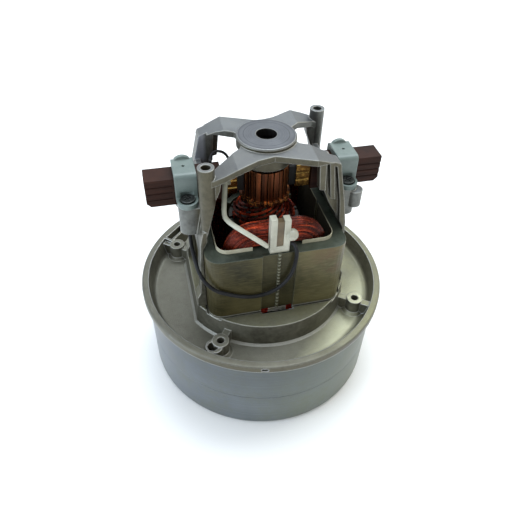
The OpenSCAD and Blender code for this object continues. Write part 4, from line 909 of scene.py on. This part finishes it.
def make_coil(side, facing):
    """A bundle surface, and one wire wound over its front, outside and rear. The turns are sunk towards the
    heart of the bundle by a wave whose phase sways. The back coil is the front one turned by half."""
    core_low, core_high = (np.array(c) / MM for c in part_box(f"{side}_coil_core"))
    turns_low, turns_high = (np.array(c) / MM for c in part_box(f"{side}_coil_turns"))
    outer = (core_high[0], (core_high[2] - core_low[2]) / 2)
    middle = np.array([0, 0, (core_high[2] + core_low[2]) / 2])
    front = min(turns_low[1], -turns_high[1])
    depth = -min(abs(core_low[1]), abs(core_high[1])) - front
    spin = np.array([facing, facing, 1.0])
    count = np.arange(COIL_TURNS * STEPS_A_TURN)
    turn = count / STEPS_A_TURN
    line = coil_surface(turn % 1, count / count[-1], COIL_WIRE / 2, outer, front, depth)
    heart = coil_surface(turn % 1, np.full_like(turn, HEART_SHARE), depth / 2, outer, front, depth)
    rate, sway, sway_rate = SINK_WAVE
    sunk = COIL_SINK * (0.5 + 0.5 * np.sin(rate * turn + sway * np.sin(sway_rate * turn)))
    line = line + sunk[:, None] * unit(heart - line)
    wire = tube_mesh(f"{side}_coil_wire", tube(line * spin + middle, COIL_WIRE / 2, WIRE_SIDES, (0, 1, 0)))
    add_piece(wire, FINISHES["enamel"], "motor_frame", "enamel", f"{side}_coil_turns")
    turn, share = np.meshgrid(
        np.arange(STEPS_A_TURN) / STEPS_A_TURN, np.linspace(0, 1, BUNDLE_ROWS), indexing="ij")
    skin = coil_surface(turn, share, BUNDLE_INSET, outer, front, depth) * spin + middle
    bundle = tube_mesh(f"{side}_coil_bundle", np.concatenate([skin, skin[:1]]))
    add_piece(bundle, FINISHES["enamel"], "motor_frame", "enamel", f"{side}_coil_core")


make_coil("front", 1.0)
make_coil("back", -1.0)


# Armature winding: the CAD's lap path, each slot's wire as seven twisted strands

SLOTS = 12
COIL_SPAN = 5
CORE_BOTTOM, CORE_TOP = (corner[2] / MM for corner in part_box("armature_core"))
LAYER_OUT, LAYER_IN = 16.6, 13.6
END_OUT, END_IN = 17.0, 8.5
END_LOW, TOP_RISE, BOTTOM_RISE = 2.4, 12.0, 9.2
DIVE_RADIUS, TOP_DIVE, BOTTOM_DIVE, TURN_IN = 8.2, 5.0, 4.6, 2.2
BUNDLE_WIRE = 1.4
STRAND = BUNDLE_WIRE / 3
STRAND_SIDES = 6
STRAND_TWIST = 0.12
STRANDS_ROUND = 6
OVER_STEPS, UNDER_STEPS, SPAN_STEPS = 9, 7, 4
TINY = 1e-3


def lap_path():
    """All loops of the winding: up a slot's outer layer, over in a closing spiral, down the inner layer
    five slots on, and back underneath in an opening spiral. Each is worked out as radius, slots turned and
    height."""
    half = (DIVE_RADIUS + LAYER_IN) / 2
    over = np.linspace(0, 1, OVER_STEPS)
    under = np.linspace(0, 1, UNDER_STEPS)
    dive_radius = [DIVE_RADIUS, half, LAYER_IN, LAYER_IN, half, DIVE_RADIUS]
    dive_height = [
        CORE_TOP + TOP_DIVE, CORE_TOP + TURN_IN, CORE_TOP,
        CORE_BOTTOM, CORE_BOTTOM - TURN_IN, CORE_BOTTOM - BOTTOM_DIVE]
    radius = np.concatenate([
        [LAYER_OUT, LAYER_OUT], mix(END_OUT, END_IN, over), dive_radius, mix(END_IN, END_OUT, under)])
    slot = np.concatenate([
        [0, 0], COIL_SPAN * over, [COIL_SPAN] * len(dive_radius), mix(COIL_SPAN, 1, under)])
    height = np.concatenate([
        [CORE_BOTTOM, CORE_TOP], CORE_TOP + mix(END_LOW, TOP_RISE, over), dive_height,
        CORE_BOTTOM - mix(BOTTOM_RISE, END_LOW, under)])
    angle = (slot[None, :] + np.arange(SLOTS)[:, None]) * 2 * np.pi / SLOTS
    level = np.broadcast_to(height, angle.shape)
    return np.stack([radius * np.cos(angle), radius * np.sin(angle), level], axis=-1).reshape(-1, 3)


def make_armature_winding():
    """One strand along the path and six round it, turning slowly about it."""
    line = smooth_line(lap_path(), SPAN_STEPS)
    outward = line * np.array([1, 1, 0]) + np.array([0, 0, TINY])
    side, up = across(line, outward)
    twist = np.cumsum(np.linalg.norm(np.gradient(line, axis=0), axis=1))[:, None] * STRAND_TWIST
    strands = [tube(line, STRAND / 2, STRAND_SIDES, outward)]
    for k in range(STRANDS_ROUND):
        turn = twist + 2 * np.pi * k / STRANDS_ROUND
        path = line + STRAND * (np.cos(turn) * side + np.sin(turn) * up)
        strands.append(tube(path, STRAND / 2, STRAND_SIDES, outward))
    mesh = tube_mesh("armature_strands", strands)
    add_piece(mesh, FINISHES["enamel"], "rotor", "enamel", "armature_winding")


make_armature_winding()


# Brush springs

SPRING_TURNS = 6
SPRING_WIRE = 0.7
SPRING_STEPS = 28
SPRING_SIDES = 10


def make_spring(side):
    """A helix along X between the ends of its CAD spring."""
    low, high = (np.array(c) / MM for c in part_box(f"{side}_brush_spring"))
    radius = (high[2] - low[2]) / 2 - SPRING_WIRE / 2
    t = np.linspace(0, 1, SPRING_TURNS * SPRING_STEPS + 1)
    a = 2 * np.pi * SPRING_TURNS * t
    x = mix(low[0] + SPRING_WIRE / 2, high[0] - SPRING_WIRE / 2, t)
    line = np.stack([x, radius * np.cos(a), (low[2] + high[2]) / 2 + radius * np.sin(a)], axis=-1)
    mesh = tube_mesh(f"{side}_spring_coil", tube(line, SPRING_WIRE / 2, SPRING_SIDES, (1, 0, 0)))
    piece = add_piece(mesh, FINISHES["steel"], "motor_frame", "steel", f"{side}_brush_spring")
    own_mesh(piece)


make_spring("right")
make_spring("left")


# Floor and light

FLOOR_REACH = 4.0
LAMP_UP = (0.0, 0.3, 1.0)
MOTOR_MIDDLE = (0.0, 0.0, 0.08)


def make_floor():
    """A wide pale floor under the fan case."""
    corners = np.array([[-1, -1, 0], [1, -1, 0], [1, 1, 0], [-1, 1, 0]]) * FLOOR_REACH
    mesh = bpy.data.meshes.new("floor")
    mesh.from_pydata(corners.tolist(), [], [(0, 1, 2, 3)])
    material, tree, shader = new_finish("pale_floor", specular=0.1)
    shade = ranged(tree, noise(tree, coordinates(tree), 3.0), 0.3, 0.7)
    surface(tree, shader, blended(tree, shade, (0.93, 0.93, 0.93), (0.95, 0.95, 0.95)), 0.8)
    mesh.materials.append(material)
    floor = bpy.data.objects.new("floor", mesh)
    bpy.context.scene.collection.objects.link(floor)


def add_softbox(name, place_at, size, power, colour):
    """A square soft light at a place in metres, turned to the motor's middle."""
    data = bpy.data.lights.new(name, "AREA")
    data.shape = "SQUARE"
    data.size = size
    data.energy = power
    data.color = colour
    lamp = bpy.data.objects.new(name, data)
    away = unit(np.array(place_at) - np.array(MOTOR_MIDDLE))
    side = unit(np.cross(LAMP_UP, away))
    turn = Matrix(np.column_stack([side, np.cross(away, side), away]).tolist()).to_4x4()
    lamp.matrix_world = Matrix.Translation(place_at) @ turn
    bpy.context.scene.collection.objects.link(lamp)


def make_light():
    """A dim cool surround, a broad cool light above and behind, a warm window at the right, a cool one at
    the left, and a warm fill at the front."""
    world = bpy.data.worlds.new("studio")
    world.use_nodes = True
    back = world.node_tree.nodes["Background"]
    back.inputs["Color"].default_value = (0.93, 0.97, 1.0, 1.0)
    back.inputs["Strength"].default_value = 0.72
    bpy.context.scene.world = world
    add_softbox("overhead", (0.15, 0.30, 1.0), 0.8, 10.5, (0.87, 0.94, 1.0))
    add_softbox("right_window", (0.80, 0.20, 0.60), 0.5, 1.6, (1.0, 0.92, 0.62))
    add_softbox("left_window", (-0.80, -0.20, 0.45), 0.5, 4.2, (0.74, 0.87, 1.0))
    add_softbox("front_fill", (0.45, -0.80, 0.60), 0.5, 0.6, (1.0, 0.88, 0.60))
    bpy.context.scene.view_settings.view_transform = "Standard"


make_floor()
make_light()
